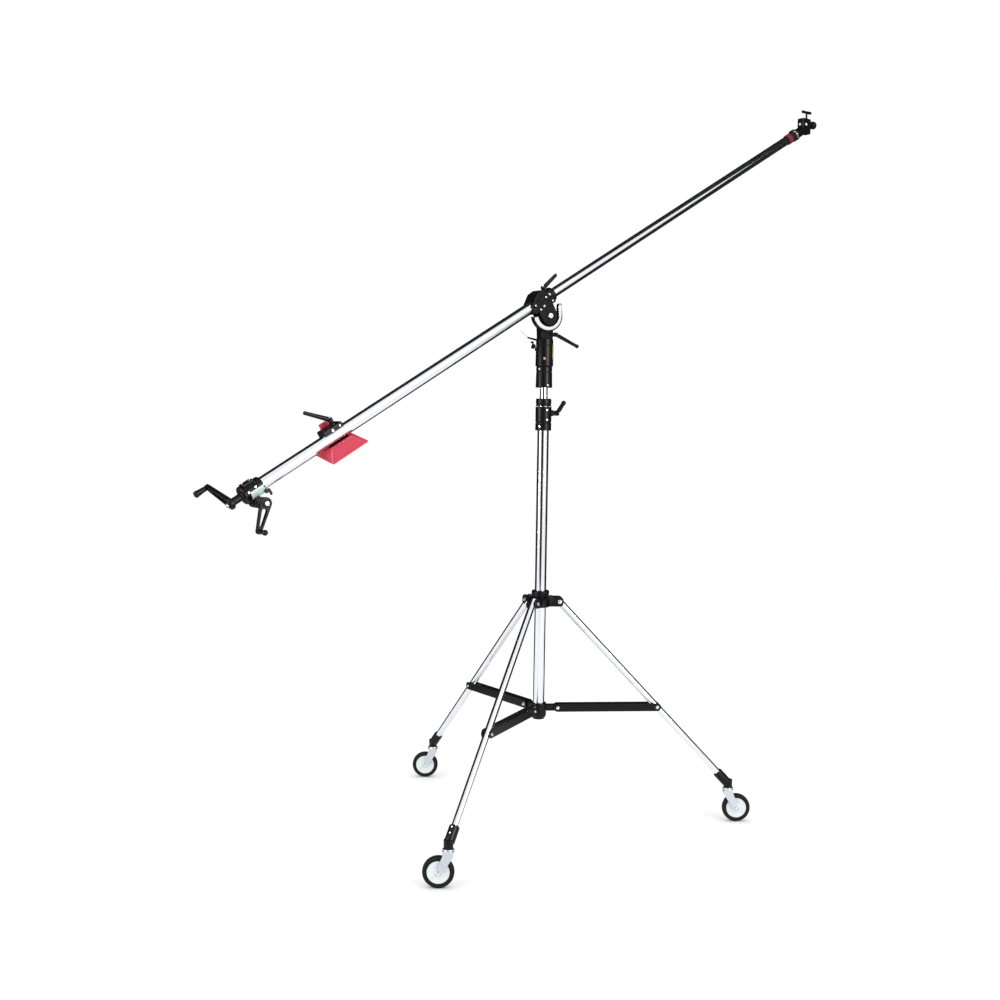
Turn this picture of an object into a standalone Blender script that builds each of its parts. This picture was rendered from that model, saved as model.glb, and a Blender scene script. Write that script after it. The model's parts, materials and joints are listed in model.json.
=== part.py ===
"""Wheeled boom stand: a folding three-legged stand on casters that carries a long geared boom pole."""

import math

import bmesh
import bpy
from mathutils import Matrix, Vector

MM = 0.001
GAP = 0.3 * MM  # left between two pieces that touch
LYING = (0, math.pi / 2, 0)  # turns a shape made on Z to lie along X
ACROSS = (math.pi / 2, 0, 0)  # turns a shape made on Z to lie along -Y
TURNED_ACROSS = (math.pi / 2, 0.1, 0)  # the same, with its facets turned off the other edges

# Where the column stands, so that the whole object is centred on the origin
COLUMN_X = -0.053
COLUMN_Y = -0.173

# Boom attitude
BOOM_PITCH = math.radians(30.27)
PIVOT_Z = 1.7957
TUBE_OVER_PIVOT = 53.4 * MM
SIDE_AZIMUTH = math.radians(-36.0)  # the side that the stand's levers stick out to

# Tube radii
COLUMN_R = 20 * MM
MIDDLE_R = 17.5 * MM
TOP_R = 13.5 * MM
OUTER_R = 20 * MM
INNER_R = 17 * MM
LEG_R = 12 * MM
TUBE_WALL = 2 * MM

# Column and risers, heights above the floor
COLUMN_BOTTOM = 0.400
COLUMN_TOP = 1.452
LOWER_COLLAR = (1.399, 1.482)
UPPER_COLLAR = (1.4833, 1.510)
RISER_HEAD = (1.548, 1.621)
MIDDLE_BOTTOM = 0.600
TOP_BOTTOM = 0.700
MIDDLE_TOP = 1.4865
TOP_TOP = 1.560
SPIGOT_TOP = 1.688
RECEIVER_TOP = 1.718
LOCK_LEVER_Z = 1.460
TILT_LOCK_Z = 1.732
COLLAR_R = 28 * MM
SPIGOT_R = 14 * MM
HUB_SPAN = (0.378, 0.438)
HUB_LUG = 11 * MM  # half thickness and tip radius
LEG_COLLAR_SPAN = (0.778, 0.838)
LEG_COLLAR_R = 31 * MM
KNOB_STUD_R = 5 * MM

# Folding base
LEG_AZIMUTHS = [math.radians(a) for a in (90.0, 210.0, 330.0)]
LEG_NAMES = ["rear", "front", "side"]
LEG_ANGLE = math.radians(43.36)  # from the vertical
LEG_PIVOT = (0.067, 0.799)  # radius, height
LEG_LENGTH = 0.913  # pivot to caster stem
BOLT_R = 4 * MM
HUB_PIVOT = (0.067, 0.420)
ARM_REACH = 0.3575
ARM_TINE = 0.128  # outer stretch of an arm that is open to let the leg through
ARM_HEIGHT = 28 * MM
ARM_SHEET = 2.5 * MM
ARM_GAP = 27 * MM  # clear width between an arm's two flanges

# Casters
WHEEL_R = 50 * MM
WHEEL_WIDTH = 26 * MM
DISC_R = 30 * MM
TRAIL = 30 * MM
FORK_HALF = 18 * MM
CROWN_Z = 118 * MM
STEM_TOP = 166 * MM
STEM_R = 6 * MM
AXLE_R = 5 * MM
FORK_SHEET = 3 * MM
CASTER_AZIMUTHS = [SIDE_AZIMUTH + math.pi, SIDE_AZIMUTH + math.pi, SIDE_AZIMUTH]

# Boom stations along the tube, from the tilt pivot
TUBE_REAR = -1.262
TUBE_FRONT = 0.054
INNER_REAR = -0.550
INNER_FRONT = 1.440
CLAMP = (-0.052, 0.048)
COLLAR_FRONT = 0.062
WEIGHT_AT = -0.914
HOUSING = (-1.275, -1.204)
ROLL_CRANK = -1.310
SIDE_SHAFT = (-1.244, -39 * MM)  # along the tube, and off its axis
HEAD_PIVOT = 1.505

# Boom mount, gears and head
PIVOT_BOLT_R = 6 * MM
TONGUE_HALF = 15 * MM
TONGUE_R = 28 * MM
CLAMP_HALF = 29 * MM
NEAR_CHEEK = (33 * MM, 15.5 * MM, 28 * MM)  # radius, inner and outer face
FAR_CHEEK = (30 * MM, -22.5 * MM, -15.5 * MM)
RIM_FACES = (15.5 * MM, 31 * MM)
RIM_OUTER = 46 * MM
RIM_SPREAD = 1.12  # how much wider than round the rim is
ROLL_SHAFT_R = 8 * MM
HEAD_SHAFT_R = 5 * MM
TILT_SHAFT_R = 6 * MM
HOUSING_R = 27 * MM
FLANGE_R = 30 * MM
GEARBOX_R = 18 * MM
CRANK_THICKNESS = 13 * MM
CRANK_PIN_R = 3.5 * MM
HEAD_BOLT_R = 5 * MM
SPIGOT_SOCKET_R = 8.3 * MM
THROUGH = 40 * MM  # half length of a cutter that goes right through

COLOURS = {
    "black": ((0.02, 0.02, 0.022, 1), 0.45, 0.0),
    "chrome": ((0.75, 0.76, 0.78, 1), 0.15, 1.0),
    "alloy": ((0.8, 0.8, 0.8, 1), 0.25, 1.0),
    "zinc": ((0.6, 0.64, 0.68, 1), 0.35, 1.0),
    "rubber": ((0.015, 0.015, 0.015, 1), 0.8, 0.0),
    "disc": ((0.8, 0.83, 0.82, 1), 0.4, 0.0),
    "red": ((0.6, 0.05, 0.08, 1), 0.4, 0.0),
    "ring": ((0.15, 0.02, 0.03, 1), 0.4, 0.0),
}

PARTS = bpy.data.collections.new("boom_stand")
TOOLS = bpy.data.collections.new("tools")


# ---------------------------------------------------------------- helpers


def clear_scene():
    """Empties the scene and links the two collections."""
    for obj in list(bpy.data.objects):
        bpy.data.objects.remove(obj)
    bpy.context.scene.collection.children.link(PARTS)
    bpy.context.scene.collection.children.link(TOOLS)


def material(name, colour):
    """A Principled material of its own for one piece."""
    base, roughness, metallic = COLOURS[colour]
    made = bpy.data.materials.new(name)
    made.use_nodes = True
    shader = made.node_tree.nodes["Principled BSDF"]
    shader.inputs["Base Color"].default_value = base
    shader.inputs["Roughness"].default_value = roughness
    shader.inputs["Metallic"].default_value = metallic
    return made


def empty(name, parent=None, at=(0, 0, 0), turn=(0, 0, 0)):
    """A frame that pieces hang from."""
    obj = bpy.data.objects.new(name, None)
    PARTS.objects.link(obj)
    obj.parent = parent
    obj.location = at
    obj.rotation_euler = turn
    return obj


def piece(obj, name, colour, parent, at=(0, 0, 0), turn=(0, 0, 0)):
    """Names a shape, gives it its finish and hangs it from its frame."""
    obj.name = name
    obj.data.materials.append(material(name, colour))
    PARTS.objects.link(obj)
    return place(obj, parent, at, turn)


def tool(obj, parent, at=(0, 0, 0), turn=(0, 0, 0)):
    """Keeps a shape that only cuts or joins out of the model."""
    TOOLS.objects.link(obj)
    obj.hide_render = True
    obj.display_type = "WIRE"
    return place(obj, parent, at, turn)


def place(obj, parent, at, turn):
    """Hangs a shape from its frame at a place and rotation."""
    obj.parent = parent
    obj.location = at
    obj.rotation_euler = turn
    return obj


def bore(radius, steps):
    """The radius of a faceted hole whose flats clear a round piece by the usual gap."""
    return (radius + GAP) / math.cos(math.pi / steps)


def boolean(obj, other, operation):
    """One exact Boolean between two shapes."""
    modifier = obj.modifiers.new(other.name, "BOOLEAN")
    modifier.operation = operation
    modifier.object = other
    modifier.solver = "EXACT"


def join(obj, *others):
    """Makes one body of several shapes."""
    for other in others:
        boolean(obj, other, "UNION")


def cut(obj, *others):
    """Takes shapes away from a body."""
    for other in others:
        boolean(obj, other, "DIFFERENCE")


def turned(profile, closed=False, steps=24):
    """A shape turned about Z from (radius, height) points that run down the outside."""
    mesh = bpy.data.meshes.new("turned")
    points = [(radius, 0, height) for radius, height in profile]
    edges = [(i, i + 1) for i in range(len(points) - 1)]
    if closed:
        edges.append((len(points) - 1, 0))
    mesh.from_pydata(points, edges, [])
    obj = bpy.data.objects.new("turned", mesh)
    screw = obj.modifiers.new("screw", "SCREW")
    screw.steps = steps
    screw.render_steps = steps
    screw.use_merge_vertices = True
    screw.merge_threshold = 0.00001
    screw.use_smooth_shade = True
    return obj


def tube(outer, inner, low, high, steps=24):
    """A plain tube on Z."""
    return turned([(outer, high), (outer, low), (inner, low), (inner, high)], True, steps)


def rod(radius, low, high, chamfer=0.0, steps=24):
    """A solid cylinder on Z, with its rims broken where a chamfer is given."""
    if not chamfer:
        return turned([(0, high), (radius, high), (radius, low), (0, low)], steps=steps)
    inside = radius - chamfer
    rims = [(inside, high), (radius, high - chamfer), (radius, low + chamfer), (inside, low)]
    return turned([(0, high), *rims, (0, low)], steps=steps)


def box(low, high, bevel=0.0, segments=1):
    """A block between two corners, with its edges broken where a bevel is given."""
    mesh = bpy.data.meshes.new("box")
    shape = bmesh.new()
    bmesh.ops.create_cube(shape, size=1)
    size = Vector(high) - Vector(low)
    middle = (Vector(high) + Vector(low)) / 2
    for vert in shape.verts:
        vert.co = middle + Vector(a * b for a, b in zip(vert.co, size))
    shape.to_mesh(mesh)
    shape.free()
    obj = bpy.data.objects.new("box", mesh)
    if bevel:
        edge = obj.modifiers.new("bevel", "BEVEL")
        edge.width = bevel
        edge.segments = segments
        edge.limit_method = "ANGLE"
    return obj


def plate(points, low, high):
    """A flat outline in XY, with thickness from low to high on Z, as a welded mesh."""
    curve = bpy.data.curves.new("plate", "CURVE")
    curve.dimensions = "2D"
    curve.fill_mode = "BOTH"
    curve.extrude = (high - low) / 2
    spline = curve.splines.new("POLY")
    spline.points.add(len(points) - 1)
    for point, (x, y) in zip(spline.points, points):
        point.co = (x, y, 0, 1)
    spline.use_cyclic_u = True
    source = bpy.data.objects.new("plate", curve)
    TOOLS.objects.link(source)
    graph = bpy.context.evaluated_depsgraph_get()
    mesh = bpy.data.meshes.new_from_object(source.evaluated_get(graph))
    bpy.data.objects.remove(source)
    mesh.transform(Matrix.Translation((0, 0, (low + high) / 2)))
    shape = bmesh.new()
    shape.from_mesh(mesh)
    bmesh.ops.remove_doubles(shape, verts=shape.verts, dist=0.000001)
    bmesh.ops.recalc_face_normals(shape, faces=shape.faces)
    shape.to_mesh(mesh)
    shape.free()
    return bpy.data.objects.new("plate", mesh)


def arc(x, y, radius, start, end, count):
    """Points on a circle's arc, from one angle to the other in degrees."""
    angles = [math.radians(start + (end - start) * i / count) for i in range(count + 1)]
    return [(x + radius * math.cos(a), y + radius * math.sin(a)) for a in angles]


def strap(length, wide, narrow, count=8):
    """The outline of a tapered bar with round ends, from the origin along +X."""
    return arc(0, 0, wide, 90, 270, count) + arc(length, 0, narrow, -90, 90, count)


def lever(name, parent, at, turn, hub, arm, lean, radii, flip=False):
    """A cranked lever: a hub along local Z, and a tapered arm leaning out along +X, or -X if flipped."""
    hub_radius, hub_height = hub
    root_radius, tip_radius = radii
    body = piece(rod(hub_radius, 0, hub_height, 1.5 * MM, 14), name, "black", parent, at, turn)
    chamfer = 2 * MM
    shape = turned(
        [
            (0, arm),
            (tip_radius - chamfer, arm),
            (tip_radius, arm - chamfer),
            (root_radius, chamfer),
            (root_radius - chamfer, 0),
            (0, 0),
        ],
        steps=12,
    )
    place_arm = (0, 0, hub_height - 0.6 * root_radius)
    frame = empty(name + "_turn", parent, at, turn)
    tilt = (math.pi / 2 - lean) * (-1 if flip else 1)
    arm_tool = tool(shape, frame, place_arm, (0, tilt, 0))
    arm_tool.name = name + "_arm"
    join(body, arm_tool)
    return body


# ---------------------------------------------------------------- stand


def build_column(stand):
    """The fixed column tube, its bottom hub and its top collar."""
    column = tube(COLUMN_R, COLUMN_R - TUBE_WALL, COLUMN_BOTTOM, COLUMN_TOP)
    piece(column, "column_tube", "chrome", stand)
    build_bottom_hub(stand)
    low, high = LOWER_COLLAR
    step = COLUMN_TOP + GAP
    groove = high - 55 * MM
    profile = [
        (COLLAR_R - 2 * MM, high),
        (COLLAR_R, high - 2 * MM),
        (COLLAR_R, groove + 2 * MM),
        (COLLAR_R - 2 * MM, groove),
        (COLLAR_R, groove - 2 * MM),
        (COLLAR_R, low),
        (bore(COLUMN_R, 20), low),
        (bore(COLUMN_R, 20), step),
        (bore(MIDDLE_R, 20), step),
        (bore(MIDDLE_R, 20), high),
    ]
    collar = piece(turned(profile, True, 20), "lower_lock_collar", "black", stand)
    boss = rod(10 * MM, 24 * MM, 36 * MM, steps=12)
    join(collar, tool(boss, stand, (0, 0, LOCK_LEVER_Z), (0, math.pi / 2, SIDE_AZIMUTH)))


def build_bottom_hub(stand):
    """The hub at the column's foot that the three spreader arms pivot on."""
    radius, height = HUB_PIVOT
    low, high = HUB_SPAN
    profile = [
        (25 * MM, high),
        (27 * MM, high - 2 * MM),
        (27 * MM, low + 14 * MM),
        (20 * MM, low + 2 * MM),
        (0, low),
        (0, COLUMN_BOTTOM - GAP),
        (bore(COLUMN_R, 18), COLUMN_BOTTOM - GAP),
        (bore(COLUMN_R, 18), high),
    ]
    hub = piece(turned(profile, True, 18), "bottom_hub", "black", stand)
    for name, azimuth in zip(LEG_NAMES, LEG_AZIMUTHS):
        frame = empty("hub_" + name, stand, turn=(0, 0, azimuth))
        tip = arc(radius, 0, HUB_LUG, -90, 90, 6)
        outline = [(23.5 * MM, -HUB_LUG), *tip, (23.5 * MM, HUB_LUG)]
        lug = tool(plate(outline, -HUB_LUG, HUB_LUG), frame, (0, 0, height), ACROSS)
        lug.name = "hub_lug_" + name
        join(hub, lug)


def build_leg_collar(stand):
    """The sliding collar that carries the three legs, and its lock knob."""
    radius, height = LEG_PIVOT
    low, high = LEG_COLLAR_SPAN
    profile = [
        (LEG_COLLAR_R - 2 * MM, high),
        (LEG_COLLAR_R, high - 2 * MM),
        (LEG_COLLAR_R, low),
        (bore(COLUMN_R + GAP, 18), low),
        (bore(COLUMN_R + GAP, 18), high),
    ]
    frame = empty("leg_collar_slide", stand)
    collar = piece(turned(profile, True, 18), "leg_collar", "black", frame)
    for name, azimuth in zip(LEG_NAMES, LEG_AZIMUTHS):
        side = empty("ears_" + name, frame, turn=(0, 0, azimuth))
        tip = arc(radius, -3 * MM, 14 * MM, -90, 0, 4)
        outline = [(27 * MM, -17 * MM), *tip, (radius + 14 * MM, 17 * MM), (27 * MM, 17 * MM)]
        for face in (-20 * MM, 13 * MM):
            ear = tool(plate(outline, face, face + 7 * MM), side, (0, 0, height), ACROSS)
            join(collar, ear)
        hole = rod(bore(BOLT_R, 10), -THROUGH, THROUGH, steps=10)
        cut(collar, tool(hole, side, (radius, 0, height), ACROSS))
    stud = empty("leg_collar_knob_axis", frame, (0, 0, height + 16 * MM), (0, 0, math.radians(270)))
    knob = [
        (0, 70 * MM),
        (8 * MM, 70 * MM),
        (13 * MM, 66 * MM),
        (13 * MM, 54 * MM),
        (8 * MM, 50 * MM),
        (KNOB_STUD_R, 50 * MM),
        (KNOB_STUD_R, LEG_COLLAR_R + GAP),
        (0, LEG_COLLAR_R + GAP),
    ]
    piece(turned(knob, steps=12), "leg_collar_knob", "black", stud, turn=LYING)
    return frame


def build_leg(collar, index):
    """One leg tube with its top bolt and its foot casting."""
    name, azimuth = LEG_NAMES[index], LEG_AZIMUTHS[index]
    radius, height = LEG_PIVOT
    side = empty("leg_side_" + name, collar, turn=(0, 0, azimuth))
    pivot = empty("leg_pivot_" + name, side, (radius, 0, height), (0, -LEG_ANGLE, 0))
    shape = tube(LEG_R, LEG_R - TUBE_WALL, -LEG_LENGTH + 40 * MM, 14 * MM, 18)
    leg = piece(shape, "leg_tube_" + name, "chrome", pivot)
    cut(leg, tool(rod(bore(BOLT_R, 10), -THROUGH, THROUGH, steps=10), pivot, turn=ACROSS))
    bolt = [
        (0, 25 * MM),
        (7 * MM, 25 * MM),
        (7 * MM, 20.3 * MM),
        (BOLT_R, 20.3 * MM),
        (BOLT_R, -20.3 * MM),
        (7 * MM, -20.3 * MM),
        (7 * MM, -25 * MM),
        (0, -25 * MM),
    ]
    piece(turned(bolt, steps=10), "leg_pivot_bolt_" + name, "zinc", side, (radius, 0, height), ACROSS)
    build_foot(side, pivot, name)
    return pivot


def build_foot(side, pivot, name):
    """The casting on a leg's lower end, with its bore for the caster stem."""
    low, high = -LEG_LENGTH - 4 * MM, -LEG_LENGTH + 62 * MM
    seat = -LEG_LENGTH + 40 * MM - GAP
    profile = [
        (14 * MM, high),
        (17 * MM, high - 3 * MM),
        (17 * MM, low + 8 * MM),
        (12 * MM, low),
        (0, low),
        (0, seat),
        (bore(LEG_R, 14), seat),
        (bore(LEG_R, 14), high),
    ]
    foot = piece(turned(profile, True, 14), "leg_foot_" + name, "black", pivot)
    stem_x = LEG_PIVOT[0] + LEG_LENGTH * math.sin(LEG_ANGLE)
    socket = rod(15 * MM, CROWN_Z + 7.5 * MM, CROWN_Z + 34 * MM, steps=14)
    stem_hole = rod(bore(STEM_R, 10), CROWN_Z - 8 * MM, STEM_TOP - 20 * MM, steps=10)
    join(foot, tool(socket, side, (stem_x, 0, 0)))
    cut(foot, tool(stem_hole, side, (stem_x, 0, 0)))


def build_arm(stand, index):
    """One spreader arm: two flanges joined by a web along the inner stretch."""
    name, azimuth = LEG_NAMES[index], LEG_AZIMUTHS[index]
    radius, height = HUB_PIVOT
    place_pivot = (radius * math.cos(azimuth), radius * math.sin(azimuth), height)
    frame = empty("arm_pivot_" + name, stand, place_pivot, (0, 0, azimuth))
    half = ARM_GAP / 2
    outline = arc(0, 0, ARM_HEIGHT / 2, 90, 270, 6) + arc(ARM_REACH, 0, ARM_HEIGHT / 2, -90, 90, 6)
    arm = piece(plate(outline, half, half + ARM_SHEET), "spreader_arm_" + name, "black", frame, turn=ACROSS)
    other = tool(plate(outline, -half - ARM_SHEET, -half), frame, turn=ACROSS)
    web_low = (16 * MM, -half - ARM_SHEET / 2, ARM_HEIGHT / 2 - ARM_SHEET)
    web_high = (ARM_REACH - ARM_TINE, half + ARM_SHEET / 2, ARM_HEIGHT / 2 - 0.2 * MM)
    join(arm, tool(box(web_low, web_high), frame), other)


def build_caster(pivot_side, index):
    """One swivelling caster: stem and fork, tyre, and wheel disc."""
    name = LEG_NAMES[index]
    stem_x = LEG_PIVOT[0] + LEG_LENGTH * math.sin(LEG_ANGLE)
    own_turn = CASTER_AZIMUTHS[index] - LEG_AZIMUTHS[index]
    swivel = empty("caster_swivel_" + name, pivot_side, (stem_x, 0, 0), (0, 0, own_turn))
    build_fork(swivel, name)
    axle = empty("wheel_axle_" + name, swivel, (TRAIL, 0, WHEEL_R), ACROSS)
    half = WHEEL_WIDTH / 2
    tyre = [
        (DISC_R + 6 * MM, half - 1 * MM),
        (WHEEL_R - 5 * MM, half),
        (WHEEL_R, half - 6 * MM),
        (WHEEL_R, -half + 6 * MM),
        (WHEEL_R - 5 * MM, -half),
        (DISC_R + 6 * MM, -half + 1 * MM),
    ]
    piece(turned(tyre, True, 28), "tyre_" + name, "rubber", axle)
    disc = [
        (DISC_R + 6 * MM - GAP, half - 3 * MM),
        (DISC_R + 6 * MM - GAP, -half + 3 * MM),
        (12 * MM, -half + 6 * MM),
        (11 * MM, -half - 1 * MM),
        (bore(AXLE_R, 18), -half - 1 * MM),
        (bore(AXLE_R, 18), half + 1 * MM),
        (11 * MM, half + 1 * MM),
        (12 * MM, half - 6 * MM),
    ]
    piece(turned(disc, True, 18), "wheel_disc_" + name, "disc", axle)


def build_fork(swivel, name):
    """The pressed fork of a caster with its stem and riveted axle."""
    plate_low, plate_high = FORK_HALF - FORK_SHEET, FORK_HALF
    crown = rod(20 * MM, CROWN_Z - 4 * MM, CROWN_Z, steps=16)
    fork = piece(crown, "caster_fork_" + name, "zinc", swivel)
    bearing = [
        (0, STEM_TOP - 22 * MM),
        (STEM_R, STEM_TOP - 22 * MM),
        (STEM_R, CROWN_Z + 5 * MM),
        (17 * MM, CROWN_Z + 5 * MM),
        (17 * MM, CROWN_Z - 2 * MM),
        (0, CROWN_Z - 2 * MM),
    ]
    shapes = [tool(turned(bearing, steps=12), swivel)]
    outline = [
        (-17 * MM, CROWN_Z - 0.5 * MM),
        (-17 * MM, CROWN_Z - 14 * MM),
        (TRAIL - 12 * MM, WHEEL_R - 2 * MM),
        (TRAIL - 6 * MM, WHEEL_R - 11 * MM),
        (TRAIL + 6 * MM, WHEEL_R - 11 * MM),
        (TRAIL + 12 * MM, WHEEL_R - 2 * MM),
        (17 * MM, CROWN_Z - 14 * MM),
        (17 * MM, CROWN_Z - 0.5 * MM),
    ]
    for low, high in ((plate_low, plate_high), (-plate_high, -plate_low)):
        shapes.append(tool(plate(outline, low, high), swivel, turn=ACROSS))
    web = box((-17 * MM, -plate_high, CROWN_Z - 3.5 * MM), (17 * MM, plate_high, CROWN_Z - 0.6 * MM))
    shapes.append(tool(web, swivel))
    axle = rod(AXLE_R, -22 * MM, 22 * MM, steps=10)
    shapes.append(tool(axle, swivel, (TRAIL, 0, WHEEL_R), ACROSS))
    join(fork, *shapes)


def build_risers(stand):
    """The two telescoping risers with their collars, the lever and the knob that lock them."""
    middle = tube(MIDDLE_R, MIDDLE_R - TUBE_WALL, MIDDLE_BOTTOM, MIDDLE_TOP, 20)
    piece(middle, "riser_middle_tube", "chrome", stand)
    low, high = UPPER_COLLAR
    step = MIDDLE_TOP + GAP
    profile = [
        (25 * MM, high),
        (27 * MM, high - 2 * MM),
        (27 * MM, low),
        (bore(MIDDLE_R, 20), low),
        (bore(MIDDLE_R, 20), step),
        (bore(TOP_R, 20), step),
        (bore(TOP_R, 20), high),
    ]
    piece(turned(profile, True, 20), "upper_lock_collar", "black", stand)
    knob = [
        (0, 62 * MM),
        (9 * MM, 62 * MM),
        (12 * MM, 59 * MM),
        (12 * MM, 48 * MM),
        (9 * MM, 45 * MM),
        (KNOB_STUD_R, 45 * MM),
        (KNOB_STUD_R, 27.3 * MM),
        (0, 27.3 * MM),
    ]
    middle_height = (low + high) / 2
    back = empty("upper_collar_knob_axis", stand, (0, 0, middle_height), (0, 0, math.radians(55)))
    piece(turned(knob, steps=12), "upper_collar_knob", "black", back, turn=LYING)
    front = empty("lower_collar_lever_axis", stand, (0, 0, LOCK_LEVER_Z), (0, 0, SIDE_AZIMUTH))
    place_hub = (36.3 * MM, 0, 0)
    hub, radii = (9 * MM, 14 * MM), (8 * MM, 7 * MM)
    lever("lower_collar_lever", front, place_hub, LYING, hub, 44 * MM, 0.6, radii, flip=True)
    top = tube(TOP_R, TOP_R - TUBE_WALL, TOP_BOTTOM, TOP_TOP, 18)
    piece(top, "riser_top_tube", "chrome", stand)
    low, high = RISER_HEAD
    profile = [
        (0, SPIGOT_TOP),
        (12 * MM, SPIGOT_TOP),
        (SPIGOT_R, SPIGOT_TOP - 2 * MM),
        (SPIGOT_R, high),
        (26 * MM, high),
        (28 * MM, high - 2 * MM),
        (29 * MM, low),
        (bore(TOP_R, 20), low),
        (bore(TOP_R, 20), TOP_TOP + GAP),
        (0, TOP_TOP + GAP),
    ]
    piece(turned(profile, steps=20), "riser_head", "black", stand)


# ---------------------------------------------------------------- boom mount


def build_receiver(stand):
    """The swivelling receiver with the tongue that the boom clamp tilts on, its lock knob and lever."""
    low = RISER_HEAD[1] + GAP
    profile = [
        (28 * MM, RECEIVER_TOP),
        (30 * MM, RECEIVER_TOP - 2 * MM),
        (31 * MM, low),
        (bore(SPIGOT_R, 20), low),
        (bore(SPIGOT_R, 20), SPIGOT_TOP + 0.5 * MM),
        (0, SPIGOT_TOP + 0.5 * MM),
        (0, RECEIVER_TOP),
    ]
    receiver = piece(turned(profile, True, 20), "boom_receiver", "black", stand)
    drop = PIVOT_Z - RECEIVER_TOP
    outline = arc(0, 0, TONGUE_R, 0, 180, 12) + [(-24 * MM, -drop - 6 * MM), (24 * MM, -drop - 6 * MM)]
    tongue = tool(plate(outline, -TONGUE_HALF, TONGUE_HALF), stand, (0, 0, PIVOT_Z), ACROSS)
    hole = rod(PIVOT_BOLT_R + GAP, -THROUGH, THROUGH, steps=12)
    bolt_hole = tool(hole, stand, (0, 0, PIVOT_Z), TURNED_ACROSS)
    lug = rod(7.5 * MM, 8 * MM, 30 * MM, steps=12)
    join(receiver, tongue, tool(lug, stand, (0, 0, TILT_LOCK_Z), (0, math.pi / 2, SIDE_AZIMUTH)))
    cut(receiver, bolt_hole)
    claw = [
        (0, 46 * MM),
        (8 * MM, 46 * MM),
        (11 * MM, 43 * MM),
        (8 * MM, 36 * MM),
        (4 * MM, 34 * MM),
        (4 * MM, 31.3 * MM),
        (0, 31.3 * MM),
    ]
    knob_height = RECEIVER_TOP - 26 * MM
    left = empty("receiver_knob_axis", stand, (0, 0, knob_height), (0, 0, SIDE_AZIMUTH + math.pi))
    piece(turned(claw, steps=12), "receiver_knob", "black", left, turn=LYING)
    right = empty("tilt_lock_axis", stand, (0, 0, TILT_LOCK_Z), (0, 0, SIDE_AZIMUTH))
    hub, radii = (7.5 * MM, 12 * MM), (7 * MM, 5.5 * MM)
    lever("tilt_lock_lever", right, (30.3 * MM, 0, 0), LYING, hub, 84 * MM, 1.1, radii)


def build_clamp(boom):
    """The boom clamp: cheeks and saddle, cap, polished rims, pivot bolt and top lever."""
    rear, front = CLAMP
    axis = TUBE_OVER_PIVOT
    saddle = box((rear, -CLAMP_HALF, 30 * MM), (front, CLAMP_HALF, axis - 0.5 * MM), 3 * MM)
    base = piece(saddle, "clamp_base", "black", boom)
    for radius, low, high in (NEAR_CHEEK, FAR_CHEEK):
        outline = arc(0, 0, radius, 180, 360, 16) + [(radius, 33 * MM), (-radius, 33 * MM)]
        join(base, tool(plate(outline, low, high), boom, turn=ACROSS))
    bolt_hole = tool(rod(PIVOT_BOLT_R + GAP, -THROUGH, THROUGH, steps=12), boom, turn=TURNED_ACROSS)
    tube_hole = tool(rod(bore(OUTER_R, 24), -0.1, 0.1), boom, (0, 0, axis), LYING)
    cut(base, bolt_hole, tube_hole)
    hump = [
        (rear, 0.5 * MM),
        (front, 0.5 * MM),
        (front, 25 * MM),
        (26 * MM, 25 * MM),
        (16 * MM, 38 * MM),
        (-14 * MM, 36 * MM),
        (rear, 10 * MM),
    ]
    block = plate(hump, -CLAMP_HALF, CLAMP_HALF)
    edge = block.modifiers.new("bevel", "BEVEL")
    edge.width = 3 * MM
    edge.limit_method = "ANGLE"
    cap = piece(block, "clamp_cap", "black", boom, (0, 0, axis), ACROSS)
    cut(cap, tube_hole)
    build_rim(boom)
    head = [
        (0, 37 * MM),
        (8 * MM, 37 * MM),
        (10 * MM, 35 * MM),
        (10 * MM, 28.3 * MM),
        (PIVOT_BOLT_R, 28.3 * MM),
        (PIVOT_BOLT_R, -22.8 * MM),
        (10 * MM, -22.8 * MM),
        (10 * MM, -30 * MM),
        (0, -30 * MM),
    ]
    piece(turned(head, steps=12), "pivot_bolt", "zinc", boom, turn=ACROSS)
    place_hub = (37 * MM, -6 * MM, axis + 25.3 * MM)
    hub, radii = (10 * MM, 12 * MM), (8 * MM, 6 * MM)
    lever("clamp_lever", boom, place_hub, (0, 0, 0), hub, 76 * MM, 0.25, radii)


def build_rim(boom):
    """The polished U-shaped rim round the foot of the near clamp cheek."""
    start, end = 160, 380
    inner = NEAR_CHEEK[0] + GAP + 1 * MM
    outside = [(x * RIM_SPREAD, y) for x, y in arc(0, 0, RIM_OUTER, start, end, 22)]
    inside = [(x * 1.04, y) for x, y in arc(0, 0, inner, end, start, 22)]
    piece(plate(outside + inside, *RIM_FACES), "clamp_rim", "alloy", boom, turn=ACROSS)


# ---------------------------------------------------------------- boom


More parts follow.
